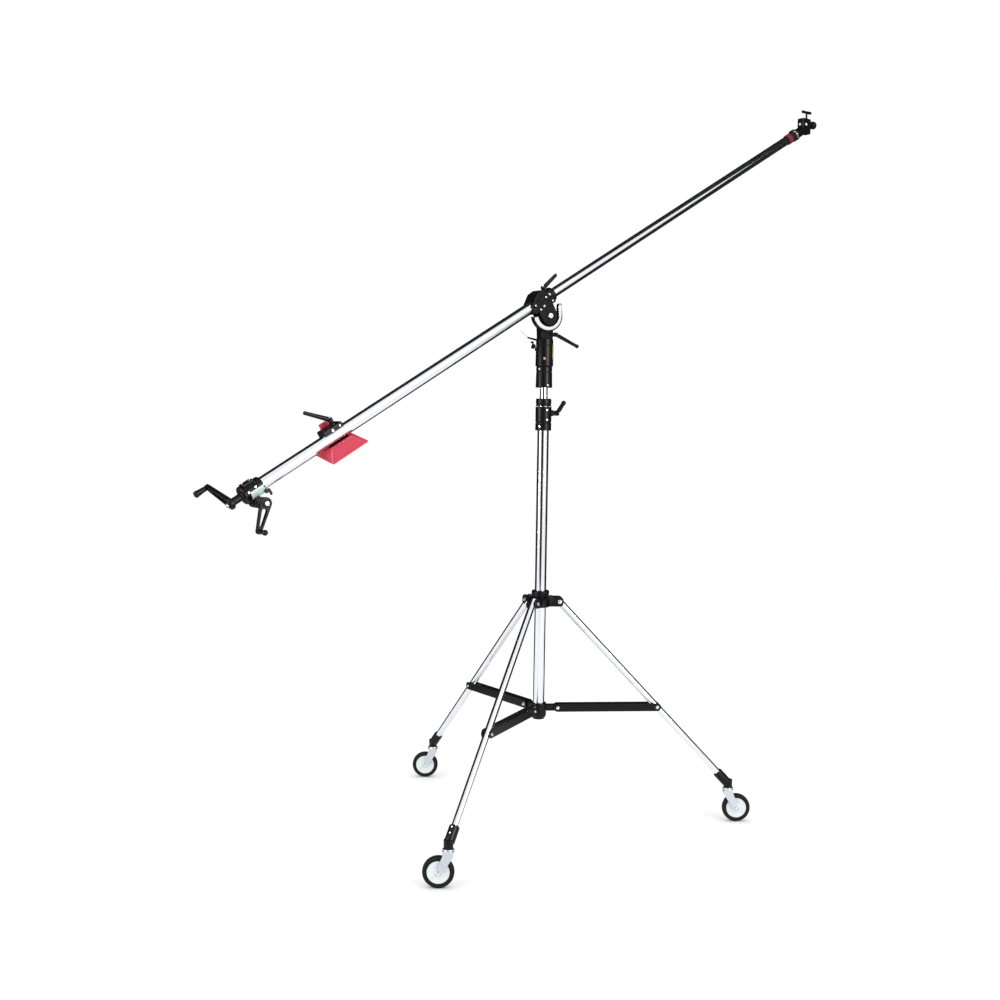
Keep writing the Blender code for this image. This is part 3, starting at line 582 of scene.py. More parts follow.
class Form:
    """Closed shells that make one piece, in the piece's own frame."""

    def __init__(self) -> None:
        """Starts empty."""
        self.mesh = bmesh.new()

    def _take(self, verts: list[Any], place: Matrix | None) -> "Form":
        """Moves new points to their place.

        Args:
            verts: The points.
            place: Where they go.

        Returns:
            The form.
        """
        if place is not None:
            bmesh.ops.transform(self.mesh, matrix=place, verts=verts)
        return self

    def lathe(
        self,
        profile: Sequence[Point],
        closed: bool = False,
        place: Matrix | None = None,
        steps: int = 64,
        flutes: int = 0,
        depth: float = 0.0,
        band: Point = (0, 0),
    ) -> "Form":
        """Adds a turned body about Z.

        Args:
            profile: (radius, height) points.
            closed: Whether it is a ring.
            place: Where it goes.
            steps: Points round.
            flutes: Finger grooves round the rim.
            depth: How deep they are.
            band: The stretch of height that they cover.

        Returns:
            The form.
        """
        rings: list[list[Any]] = []
        for radius, height in profile:
            if radius < 1e-7:
                rings.append([self.mesh.verts.new((0, 0, height))])
                continue
            grooved = flutes and band[0] <= height <= band[1]
            ring = []
            for i in range(steps):
                angle = math.tau * i / steps
                dip = depth * (0.5 - 0.5 * math.cos(flutes * angle)) ** 2 if grooved else 0.0
                x, y = (radius - dip) * math.cos(angle), (radius - dip) * math.sin(angle)
                ring.append(self.mesh.verts.new((x, y, height)))
            rings.append(ring)
        pairs = list(zip(rings, rings[1:]))
        if closed:
            pairs.append((rings[-1], rings[0]))
        faces = []
        for one, two in pairs:
            for i in range(steps):
                j = (i + 1) % steps
                corners = [one[i % len(one)], one[j % len(one)], two[j % len(two)], two[i % len(two)]]
                unique = list(dict.fromkeys(corners))
                if len(unique) > 2:
                    faces.append(self.mesh.faces.new(unique))
        bmesh.ops.recalc_face_normals(self.mesh, faces=faces)
        return self._take([v for ring in rings for v in ring], place)

    def prism(self, outline: Sequence[Point], low: float, high: float, bevel: float = 0.0,
              place: Matrix | None = None, segments: int = 2) -> "Form":
        """Adds a flat outline with thickness.

        Args:
            outline: Its points in XY.
            low: Where it starts on Z.
            high: Where it ends.
            bevel: The rounding of its edges.
            place: Where it goes.
            segments: Steps of the rounding.

        Returns:
            The form.
        """
        bottom = [self.mesh.verts.new((x, y, low)) for x, y in outline]
        top = [self.mesh.verts.new((x, y, high)) for x, y in outline]
        faces = [self.mesh.faces.new(bottom), self.mesh.faces.new(top)]
        for i in range(len(outline)):
            j = (i + 1) % len(outline)
            faces.append(self.mesh.faces.new((bottom[i], bottom[j], top[j], top[i])))
        bmesh.ops.recalc_face_normals(self.mesh, faces=faces)
        verts = bottom + top
        if bevel:
            verts = self.soften(faces, bevel, segments)
        return self._take(verts, place)

    def soften(self, faces: list[Any], bevel: float, segments: int) -> list[Any]:
        """Rounds the sharp edges of a new shell.

        Args:
            faces: Its faces.
            bevel: The width.
            segments: Its steps.

        Returns:
            The shell's points.
        """
        before = set(self.mesh.verts) - {v for f in faces for v in f.verts}
        edges = {e for f in faces for e in f.edges if e.calc_face_angle(0.0) > SHARP_EDGE}
        bmesh.ops.bevel(
            self.mesh, geom=list(edges), offset=bevel, segments=segments, profile=0.5, affect="EDGES",
            clamp_overlap=True,
        )
        return [v for v in self.mesh.verts if v not in before]

    def block(self, low: Sequence[float], high: Sequence[float], bevel: float = 0.0,
              place: Matrix | None = None, segments: int = 3) -> "Form":
        """Adds a box between two corners.

        Args:
            low: The lowest corner.
            high: The highest.
            bevel: The rounding of its edges.
            place: Where it goes.
            segments: Steps of the rounding.

        Returns:
            The form.
        """
        outline = [(low[0], low[1]), (high[0], low[1]), (high[0], high[1]), (low[0], high[1])]
        return self.prism(outline, low[2], high[2], bevel, place, segments)

    def bolt(self, place: Matrix, across_flats: float, height: float, socket: bool = True) -> "Form":
        """Adds a bolt head with a washer face, and a hex socket or a domed top.

        Args:
            place: Its seat, with Z outward.
            across_flats: Its size.
            height: Of the head.
            socket: A round head with a hex socket, or a hex head with a dome.

        Returns:
            The form.
        """
        radius = across_flats / 2
        if socket:
            top = [(0.55 * radius, height), (radius, height), (radius, -0.5 * MM), (0, -0.5 * MM)]
            rim = softened(top, 0.8 * MM)
            floor = [(0, 0.45 * height), (0.5 * radius, 0.45 * height)]
            return self.lathe(floor + rim, place=place, steps=30)
        wide = 1.3 * radius
        washer = softened([(0, 1.2 * MM), (wide, 1.2 * MM), (wide, -0.5 * MM), (0, -0.5 * MM)], 0.4 * MM)
        self.lathe(washer, place=place, steps=30)
        corners = arc((0, 0), radius / math.cos(math.pi / 6), 0, 300, 5)
        self.prism(corners, 0.8 * MM, height, 0.5 * MM, place)
        edge, top = 0.8 * radius, height + 0.8 * MM
        dome = softened([(0, top), (edge, height + 0.2 * MM), (edge, 1 * MM), (0, 1 * MM)], 0.4 * MM)
        return self.lathe(dome, place=place, steps=30)

    def bolt_ends(self, out: float, across_flats: float, height: float, x: float = 0.0) -> "Form":
        """Adds a hex head at both ends of an axis.

        Args:
            out: How far each head's seat is from the middle.
            across_flats: The heads' size.
            height: Of the heads.
            x: How far the axis lies along X.

        Returns:
            The form.
        """
        for turn in (0, math.pi):
            seat = Matrix.Translation((x, 0, 0)) @ Matrix.Rotation(
                turn, 4, "X",
            ) @ Matrix.Translation((0, 0, out))
            self.bolt(seat, across_flats, height, False)
        return self

    def work(self, operation: str, *others: "Form") -> "Form":
        """Joins or cuts with other forms.

        Args:
            operation: UNION or DIFFERENCE.
            others: The other forms, which are used up.

        Returns:
            The form.
        """
        base = self._as_object()
        tools = [other._as_object() for other in others]
        for other in tools:
            modifier = base.modifiers.new("work", "BOOLEAN")
            modifier.operation = operation
            modifier.object = other
            modifier.solver = "EXACT"
        bpy.context.view_layer.update()
        solved = base.evaluated_get(bpy.context.evaluated_depsgraph_get())
        mesh = bpy.data.meshes.new_from_object(solved)
        self.mesh.free()
        self.mesh = bmesh.new()
        self.mesh.from_mesh(mesh)
        bmesh.ops.remove_doubles(self.mesh, verts=self.mesh.verts, dist=0.002 * MM)
        for used in [base, *tools]:
            bpy.data.objects.remove(used)
        return self

    def _as_object(self) -> bpy.types.Object:
        """A helper object for a Boolean."""
        mesh = bpy.data.meshes.new("helper")
        self.mesh.to_mesh(mesh)
        made = bpy.data.objects.new("helper", mesh)
        bpy.context.scene.collection.objects.link(made)
        return made


@dataclass
class Bench:
    """Turns forms into pieces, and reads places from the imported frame."""

    frame: dict[str, Any]

    def __post_init__(self) -> None:
        """Keeps the joints by name and starts an empty store of finishes."""
        self.joints = {joint["name"]: joint for joint in self.frame["joints"]}
        self.materials: dict[str, bpy.types.Material] = {}
        self.body_of = {n: b for b, ns in self.frame["record"]["behaviour"]["bodies"].items() for n in ns}

    def finish(self, finish: Finish) -> bpy.types.Material:
        """A finish's material, made once.

        Args:
            finish: The finish.

        Returns:
            The material.
        """
        if finish.name not in self.materials:
            self.materials[finish.name] = finish.build()
        return self.materials[finish.name]

    def joint(self, name: str, toward: Vector | None = None) -> Matrix:
        """A frame on a joint's axis.

        Args:
            name: The joint.
            toward: A direction for its X.

        Returns:
            The frame.
        """
        joint = self.joints[name]
        return frame_on(Vector(joint["pos_m"]), Vector(joint["axis"]), toward)

    def axis(self, name: str) -> Vector:
        """A joint's direction.

        Args:
            name: The joint.

        Returns:
            The direction.
        """
        return Vector(self.joints[name]["axis"])

    def points(self, node: str, place: Matrix) -> list[Vector]:
        """A node's points in a frame.

        Args:
            node: The node.
            place: The frame.

        Returns:
            The points.
        """
        back = place.inverted()
        return [back @ v.co for v in self.frame["nodes"][node].data.vertices]

    def round_of(self, node: str, place: Matrix) -> tuple[float, float, float, float]:
        """A round node's measures about a frame's Z.

        Args:
            node: The node.
            place: The frame.

        Returns:
            Its lowest and highest height, and its outer and inner radius.
        """
        points = self.points(node, place)
        radii = [math.hypot(p.x, p.y) for p in points]
        heights = [p.z for p in points]
        return min(heights), max(heights), max(radii), min(radii)

    def piece(self, name: str, form: Form, place: Matrix, finish: Finish, replaces: Sequence[str] = (),
              body: str | None = None, sharp: float = 32.0) -> bpy.types.Object:
        """Makes a piece, hangs it on its body and reports it.

        Args:
            name: The piece's name.
            form: Its shells.
            place: Its frame.
            finish: Its finish.
            replaces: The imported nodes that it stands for.
            body: The body it rides on; that of the first replaced node if left out.
            sharp: Edges over this angle, in degrees, stay crisp.

        Returns:
            The piece.
        """
        bmesh.ops.dissolve_degenerate(form.mesh, edges=form.mesh.edges, dist=0.001 * MM)
        mesh = bpy.data.meshes.new(name)
        form.mesh.to_mesh(mesh)
        form.mesh.free()
        mesh.polygons.foreach_set("use_smooth", [True] * len(mesh.polygons))
        mesh.set_sharp_from_angle(angle=math.radians(sharp))
        mesh.materials.append(self.finish(finish))
        made = bpy.data.objects.new(name, mesh)
        bpy.context.scene.collection.objects.link(made)
        made.matrix_world = place
        normals = made.modifiers.new("normals", "WEIGHTED_NORMAL")
        normals.keep_sharp = True
        rides_on = body or self.body_of[replaces[0]]
        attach(made, rides_on)
        if replaces:
            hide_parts(*replaces)
        LOG.info("%s: %d faces, rides on %s", name, len(mesh.polygons), rides_on)
        return made


# ---------------------------------------------------------------- shared shapes


@dataclass
class Layout:
    """The frames that the sub-assemblies share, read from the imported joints."""

    bench: Bench

    def __post_init__(self) -> None:
        """Reads the column's, the boom's and the lever side's directions."""
        bench = self.bench
        column = bench.joint("receiver_swivel").translation
        self.stand = Matrix.Translation((column.x, column.y, 0))
        self.out = bench.axis("lower_collar_lever_turn")
        self.boom = frame_on(
            bench.joint("boom_tilt").translation,
            bench.axis("boom_slide").cross(-bench.axis("boom_tilt")),
            bench.axis("boom_slide"),
        )
        self.rise = (self.boom.inverted() @ bench.joint("roll_crank_turn").translation).z
        self.tube = self.boom @ lying((0, 0, self.rise))

    def along(self, x: float, y: float = 0.0, z: float = 0.0) -> Matrix:
        """A frame on the boom tube's axis.

        Args:
            x: Along the boom from the tilt pivot.
            y: Away from the lever side.
            z: Above the axis.

        Returns:
            The frame, with X along the boom.
        """
        return self.boom @ Matrix.Translation((x, y, self.rise + z))

    def outward(self, height: float, sign: float = 1.0, turn: float = 0.0) -> Matrix:
        """A frame at a height on the column whose Z points sideways.

        Args:
            height: The height above the floor.
            sign: 1 for the lever side and -1 for the other side.
            turn: An extra turn about the column, in degrees.

        Returns:
            The frame, with X up.
        """
        side = Matrix.Rotation(math.radians(turn), 3, "Z") @ (self.out * sign)
        return frame_on(self.stand @ Vector((0, 0, height)), side, UP)


@dataclass
class Tube:
    """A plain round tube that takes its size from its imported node."""

    node: str
    place: Matrix
    finish: Finish = CHROME
    lip: float = 0.6 * MM
    steps: int = 96

    def build(self, bench: Bench) -> bpy.types.Object:
        """Makes the tube.

        Args:
            bench: Where it is made.

        Returns:
            The piece.
        """
        low, high, outer, inner = bench.round_of(self.node, self.place)
        profile = softened([(outer, low), (outer, high), (inner, high), (inner, low)], self.lip, True)
        form = Form().lathe(profile, True, steps=self.steps)
        return bench.piece(self.node + "_fine", form, self.place, self.finish, [self.node])


@dataclass
class Lever:
    """A hub with a tapered arm that leans out of it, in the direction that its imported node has."""

    node: str
    hub: float
    root: float
    tip: float
    ball: float = 0.0
    flat: float = 0.72

    def build(self, bench: Bench, joint: str) -> bpy.types.Object:
        """Makes the lever.

        Args:
            bench: Where it is made.
            joint: The joint that it turns on.

        Returns:
            The piece.
        """
        axis = bench.joint(joint)
        far = max(bench.points(self.node, axis), key=lambda p: math.hypot(p.x, p.y))
        place = frame_on(axis.translation, axis.col[2].to_3d(), (axis @ far) - axis.translation)
        points = bench.points(self.node, place)
        low = min(p.z for p in points)
        near = [p.z for p in points if math.hypot(p.x, p.y) < 1.02 * self.hub]
        reach = max(p.x for p in points)
        end = [p for p in points if p.x > reach - 2.5 * self.tip]
        middle = sum((p.z for p in end), 0.0) / len(end)
        top = max(low + 10 * MM, min(max(near), low + 16 * MM))
        start = Vector((0, 0, top - 0.55 * self.root))
        way = Vector((reach - 0.5 * self.tip, 0, middle)) - start
        heel = -0.4 * self.root
        arm = softened([(0, heel), (self.root, heel), (self.tip, way.length), (0, way.length)], 5 * MM)
        slim = Matrix.Diagonal((1, self.flat, 1, 1))
        arm_place = frame_on(start, way, UP)
        hub = softened([(0, top + 2 * MM), (self.hub, top + 2 * MM), (self.hub, low), (0, low)], 2.2 * MM)
        form = Form().lathe(hub, steps=48)
        form.work("UNION", Form().lathe(arm, place=arm_place @ slim, steps=40))
        if self.ball:
            sphere = [(self.ball * math.sin(a), -self.ball * math.cos(a)) for a in half_turn(18)]
            sphere[0], sphere[-1] = (0, -self.ball), (0, self.ball)
            form.work("UNION", Form().lathe(sphere, place=Matrix.Translation(start + way), steps=40))
        made = bench.piece(self.node + "_fine", form, place, BLACK, [self.node])
        cap = Form().bolt(Matrix.Translation((0, 0, top + 2 * MM)), 1.15 * self.hub, 3 * MM)
        bench.piece(self.node + "_screw", cap, place, STEEL, body=bench.body_of[self.node])
        return made


def half_turn(count: int) -> list[float]:
    """Angles from 0 to a half turn.

    Args:
        count: How many steps.

    Returns:
        The angles, in radians.
    """
    return [math.pi * i / count for i in range(count + 1)]


def sleeve(
    outer: Sequence[Point], inner: float, low: float, high: float, rounding: float = 1.2 * MM,
) -> list[Point]:
    """A closed profile: an outside down its points, and a plain bore.

    Args:
        outer: (radius, height) points from the top down.
        inner: The bore's radius.
        low: The bore's lower end.
        high: Its upper end.
        rounding: The corners' rounding.

    Returns:
        The profile, to be turned as a ring.
    """
    return softened([*outer, (inner, low), (inner, high)], rounding, True)


# ---------------------------------------------------------------- folding base


@dataclass
class Column:
    """The fixed tube with its foot hub and its top collar."""

    layout: Layout
    collar: float = 28 * MM

    def build(self) -> None:
        """Makes the column's pieces."""
        bench, stand = self.layout.bench, self.layout.stand
        Tube("column_tube", stand).build(bench)
        self._hub()
        self._collar()

    def _hub(self) -> None:
        """The hub that the three spreader arms turn on, with their bolts."""
        bench, stand = self.layout.bench, self.layout.stand
        low, high, _, _ = bench.round_of("bottom_hub", stand)
        radius = bench.round_of("column_tube", stand)[2]
        floor = bench.round_of("column_tube", stand)[0] - SEAT_GAP
        outside = [(0, floor), (radius + FIT, floor), (radius + FIT, high)]
        outside += [
            (26 * MM, high), (27 * MM, high - 3 * MM), (27 * MM, low + 14 * MM), (20 * MM, low + 2 * MM),
            (0, low),
        ]
        form = Form().lathe(softened(outside, 1.5 * MM), steps=72)
        lugs = []
        for side in Side:
            pivot = bench.joint("arm_fold_" + side.value)
            place = stand.inverted() @ frame_on(
                pivot.translation, pivot.col[2].to_3d(), UP.cross(pivot.col[2].to_3d())
            )
            outline = [(-44 * MM, -11 * MM), *arc((0, 0), 11 * MM, -90, 90, 16), (-44 * MM, 11 * MM)]
            lugs.append(Form().prism(outline, -11 * MM, 11 * MM, 1.2 * MM, place))
        form.work("UNION", *lugs)
        bench.piece("bottom_hub_fine", form, stand, BLACK, ["bottom_hub"])
        for side in Side:
            bolts = Form().bolt_ends(16.2 * MM, 9 * MM, 4 * MM)
            bolts.lathe(rod(3.6, 16, -16), steps=24)
            place = bench.joint("arm_fold_" + side.value)
            bench.piece("arm_bolt_" + side.value, bolts, place, STEEL, body="column")

    def _collar(self) -> None:
        """The lock collar on top, with its boss, pinch screws and lever."""
        layout, bench, stand = self.layout, self.layout.bench, self.layout.stand
        low, high, _, _ = bench.round_of("lower_lock_collar", stand)
        outer = self.collar
        tube = bench.round_of("column_tube", stand)[2] + FIT
        riser = bench.round_of("riser_middle_tube", stand)[2] + FIT
        step = bench.round_of("column_tube", stand)[1] + SEAT_GAP
        groove = high - 55 * MM
        points = [
            (riser, high), (outer, high), (outer, groove + 2 * MM), (outer - 2.4 * MM, groove + 0.8 * MM),
        ]
        points += [
            (outer - 2.4 * MM, groove - 0.8 * MM), (outer, groove - 2 * MM), (outer, low), (tube, low),
        ]
        points += [(tube, step), (riser, step)]
        form = Form().lathe(softened(points, 1.1 * MM, True), True, steps=96)
        lever = bench.joint("lower_collar_lever_turn")
        boss = Form().lathe(softened(rod(10, 35.8, 20, 12), 1 * MM), steps=40,
                            place=stand.inverted() @ frame_on(lever.translation, lever.col[2].to_3d()))
        form.work("UNION", boss)
        bench.piece("lower_lock_collar_fine", form, stand, BLACK, ["lower_lock_collar"])
        screws = Form()
        for height, turn in ((high - 12 * MM, -64), (high - 45 * MM, -64), (low + 14 * MM, -118)):
            place = stand.inverted() @ layout.outward(height, 1, turn)
            screws.bolt(place @ Matrix.Translation((0, 0, outer - 0.6 * MM)), 7 * MM, 2.4 * MM)
        bench.piece("lower_collar_screws", screws, stand, STEEL, body="column")
        Lever(
            "lower_collar_lever", 9 * MM, 8 * MM, 7 * MM, 8.5 * MM,
        ).build(bench, "lower_collar_lever_turn")


@dataclass
class LegCollar:
    """The sliding collar with the ears that the legs turn in, and its lock knob."""

    layout: Layout
    top: float = 838 * MM

    def build(self) -> None:
        """Makes the collar and the knob."""
        bench, stand = self.layout.bench, self.layout.stand
        low, high = bench.round_of("leg_collar", stand)[0], self.top
        tube = bench.round_of("column_tube", stand)[2] + SEAT_GAP
        points = [
            (28 * MM, high), (31 * MM, high - 3 * MM), (31 * MM, high - 11 * MM), (30 * MM, high - 12 * MM),
        ]
        points += [(30 * MM, low + 12 * MM), (31 * MM, low + 11 * MM), (31 * MM, low + 1 * MM)]
        form = Form().lathe(sleeve(points, tube, low, high, 1 * MM), True, steps=96)
        ears = []
        for side in Side:
            pivot = bench.joint("leg_fold_" + side.value)
            axis = pivot.col[2].to_3d()
            place = stand.inverted() @ frame_on(pivot.translation, axis, axis.cross(UP))
            for low_face in (-20, 13):
                edge = [
                    (-39 * MM, -17 * MM), *arc((0, -3 * MM), 14 * MM, -90, 0, 12),
                    *arc((2 * MM, 5 * MM), 12 * MM, 0, 90, 8),
                ]
                outline = [*edge, (-39 * MM, 17 * MM)]
                ears.append(Form().prism(outline, low_face * MM, (low_face + 7) * MM, 1.2 * MM, place))
        form.work("UNION", *ears)
        bench.piece("leg_collar_fine", form, stand, BLACK, ["leg_collar"])
        knob = bench.joint("leg_collar_knob_turn")
        shape = mm((0, 70), (9, 70), (13, 66), (13, 54), (8, 50), (5, 50))
        shape += mm((5, 31.3), (0, 31.3))
        fine = Form().lathe(
            softened(shape, 2 * MM), steps=96, flutes=8, depth=1.6 * MM, band=(52 * MM, 68 * MM),
        )
        bench.piece("leg_collar_knob_fine", fine, knob, GRIP, ["leg_collar_knob"])


@dataclass
class Leg:
    """One leg with its bolt, foot, spreader arm and caster."""

    layout: Layout
    side: Side

    def build(self) -> None:
        """Makes the leg from its top bolt to its caster."""
        bench, name = self.layout.bench, self.side.value
        pivot = bench.joint("leg_fold_" + name)
        low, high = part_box("leg_tube_" + name)
        self.line = frame_on(pivot.translation, pivot.translation - (low + high) / 2, pivot.col[2].to_3d())
        Tube("leg_tube_" + name, self.line, steps=64).build(bench)
        self._bolt(pivot)
        self._foot()
        self._arm()
        Caster(self.layout, self.side).build()

    def _bolt(self, pivot: Matrix) -> None:
        """The bolt through the collar's ears.

        Args:
            pivot: The leg's hinge frame.
        """
        form = Form().lathe(rod(4, 20.5, -20.5), steps=24)
        form.bolt_ends(20.3 * MM, 11 * MM, 4.6 * MM)
        name = "leg_pivot_bolt_" + self.side.value
        self.layout.bench.piece(name + "_fine", form, pivot, STEEL, [name])

    def _foot(self) -> None:
        """The foot casting: a sleeve on the leg and an upright socket for the caster's stem."""
        bench, name = self.layout.bench, self.side.value
        low, _, outer, _ = bench.round_of("leg_tube_" + name, self.line)
        outer += FIT
        seat = low - SEAT_GAP
        floor = low - 44 * MM
        points = [
            (outer, low + 22 * MM), (15 * MM, low + 22 * MM), (17 * MM, low + 18 * MM),
            (17 * MM, low - 30 * MM),
        ]
        points += [(12 * MM, floor), (0, floor)]
        form = Form().lathe(softened([(0, seat), (outer, seat), *points], 1.6 * MM), steps=64)
        swivel = bench.joint("caster_swivel_" + name)
        base = swivel.translation.z
        stem = self.line.inverted() @ Matrix.Translation((swivel.translation.x, swivel.translation.y, 0))
        socket = [
            (0, base + 34 * MM), (15 * MM, base + 34 * MM), (15 * MM, base + 7.5 * MM),
            (0, base + 7.5 * MM),
        ]
        form.work("UNION", Form().lathe(softened(socket, 2 * MM), place=stem, steps=56))
        bore = [(0, base + 26 * MM), (6.3 * MM, base + 26 * MM), (6.3 * MM, base), (0, base)]
        form.work("DIFFERENCE", Form().lathe(bore, place=stem, steps=40))
        bench.piece("leg_foot_" + name + "_fine", form, self.line, BLACK, ["leg_foot_" + name])
        screw = Form()
        for height in (12 * MM, -8 * MM):
            screw.bolt(
                Matrix.Translation((0, 0, low + height)) @ across((0, -16.4 * MM, 0)), 6 * MM, 1.6 * MM,
            )
        bench.piece("foot_screws_" + name, screw, self.line, STEEL, body="leg_" + name)

    def _arm(self) -> None:
        """The pressed channel between the hub and the leg, with its outer bolt."""
        bench, name = self.layout.bench, self.side.value
        hinge = bench.joint("arm_fold_" + name)
        up = UP
        place = frame_on(hinge.translation, hinge.col[2].to_3d(), up.cross(hinge.col[2].to_3d()))
        points = bench.points("spreader_arm_" + name, place)
        reach = max(p.x for p in points) - 14 * MM
        half = max(p.z for p in points)
        sheet, tall = 2.5 * MM, max(p.y for p in points)
        web_end = max((p.x for p in points if abs(p.z) < 12 * MM), default=reach - 128 * MM)
        outline = arc((0, 0), tall, 90, 270, 16) + arc((reach, 0), tall, -90, 90, 16)
        form = Form().prism(outline, half - sheet, half, 0.6 * MM)
        other = Form().prism(outline, -half, sheet - half, 0.6 * MM)
        inside = half - sheet * 0.6
        web = Form().block((16 * MM, tall - sheet, -inside), (web_end, tall - 0.05 * MM, inside), 0.3 * MM)
        form.work("UNION", other, web)
        bench.piece("spreader_arm_" + name + "_fine", form, place, BLACK, ["spreader_arm_" + name])
        bolts = Form().bolt_ends(half, 9 * MM, 4 * MM, reach)
        bench.piece("arm_end_bolts_" + name, bolts, place, STEEL, body="arm_" + name)


@dataclass
class Caster:
    """A swivelling caster: pressed fork, ball race, tyre, disc and axle nuts."""

    layout: Layout
    side: Side
    half: float = 18 * MM

    def build(self) -> None:
        """Makes the caster's pieces."""
        bench, name = self.layout.bench, self.side.value
        swivel = bench.joint("caster_swivel_" + name)
        wheel = bench.joint("wheel_spin_" + name)
        reach = wheel.translation - swivel.translation
        reach.z = 0
        ground = swivel.translation.copy()
        ground.z = 0
        self.crown = swivel.translation.z
        self.trail, self.axle = reach.length, wheel.translation.z
        self._fork(frame_on(ground, UP, reach))
        self._wheel(wheel)

    def _fork(self, place: Matrix) -> None:
        """The fork with its stem, crown and race.

        Args:
            place: The swivel's frame on the floor, with X toward the axle.
        """
        bench, name, crown = self.layout.bench, self.side.value, self.crown
        corners = [
            (-17, crown / MM - 0.6), (-17, crown / MM - 16), (self.trail / MM - 11, 46),
            (self.trail / MM - 8, 40),
        ]
        corners += [
            (self.trail / MM + 8, 40), (self.trail / MM + 11, 47), (17, crown / MM - 14),
            (17, crown / MM - 0.6),
        ]
        outline = softened([(x * MM, z * MM) for x, z in corners], 7 * MM, True, 6)
        form = Form().lathe(
            softened(
                [(0, crown), (20 * MM, crown), (20 * MM, crown - 4 * MM), (0, crown - 4 * MM)], 1.2 * MM,
            ),
            steps=72,
        )
        sides = [Form().prism(outline, low * MM, (low + 3) * MM, 0.8 * MM, across()) for low in (15, -18)]
        web = Form().block(
            (-17 * MM, -self.half, crown - 3.6 * MM), (17 * MM, self.half, crown - 0.4 * MM), 1 * MM,
        )
        neck = [
            (0, crown + 26 * MM), (6 * MM, crown + 26 * MM), (6 * MM, crown + 5 * MM),
            (17 * MM, crown + 5 * MM),
        ]
        stem = softened([*neck, (17 * MM, crown - 2 * MM), (0, crown - 2 * MM)], 1 * MM)
        form.work("UNION", *sides, web, Form().lathe(stem, steps=72))
        bench.piece("caster_fork_" + name + "_fine", form, place, ZINC, ["caster_fork_" + name])
        seat, inner, outer = crown + 0.6 * MM, 15 * MM, 18.4 * MM
        race = [(inner, crown + 6.2 * MM), (outer, crown + 4.6 * MM), (outer, seat), (inner, seat)]
        race = softened(race, 0.8 * MM, True)
        bench.piece(
            "caster_race_" + name, Form().lathe(race, True, steps=72), place, STEEL, body="caster_" + name,
        )
        nuts = Form().lathe(rod(4.6, 22, -22), place=across((self.trail, 0, self.axle)), steps=24)
        for turn in (0, math.pi):
            spin = Matrix.Rotation(turn, 4, "Z")
            centre = Matrix.Translation((self.trail, 0, self.axle)) @ spin @ across((0, -self.half, 0))
            nuts.bolt(centre, 11 * MM, 4.6 * MM, False)
        bench.piece("axle_nuts_" + name, nuts, place, STEEL, body="caster_" + name)

    def _wheel(self, place: Matrix) -> None:
        """The tyre and the disc.

        Args:
            place: The axle's frame.
        """
        bench, name = self.layout.bench, self.side.value
        _, half, radius, inner = bench.round_of("tyre_" + name, place)
        tread = [
            (inner, half - 1.4 * MM), (inner + 3 * MM, half - 0.6 * MM), (radius - 5 * MM, half),
            (radius - 1.4 * MM, half - 3 * MM),
        ]
        tread += [(radius, half - 8 * MM), (radius, 1 * MM), (radius - 1 * MM, 0.5 * MM)]
        mirror = [(r, -z) for r, z in reversed(tread)]
        tyre = Form().lathe(softened([*tread, *mirror], 2.2 * MM, True, 5), True, steps=128)
        bench.piece("tyre_" + name + "_fine", tyre, place, TYRE, ["tyre_" + name])
        seat = inner - SEAT_GAP
        dish = [
            (seat, half - 3 * MM), (seat - 3 * MM, half - 2.2 * MM), (seat - 5 * MM, half - 4.5 * MM),
            (15 * MM, half - 7 * MM),
        ]
        dish += [(12 * MM, half - 5 * MM), (11 * MM, half + 0.8 * MM), (5.3 * MM, half + 0.8 * MM)]
        mirror = [(r, -z) for r, z in reversed(dish)]
        disc = Form().lathe(softened([*dish, *mirror], 1 * MM, True), True, steps=96)
        bench.piece("wheel_disc_" + name + "_fine", disc, place, DISC, ["wheel_disc_" + name])


# ---------------------------------------------------------------- risers and boom mount


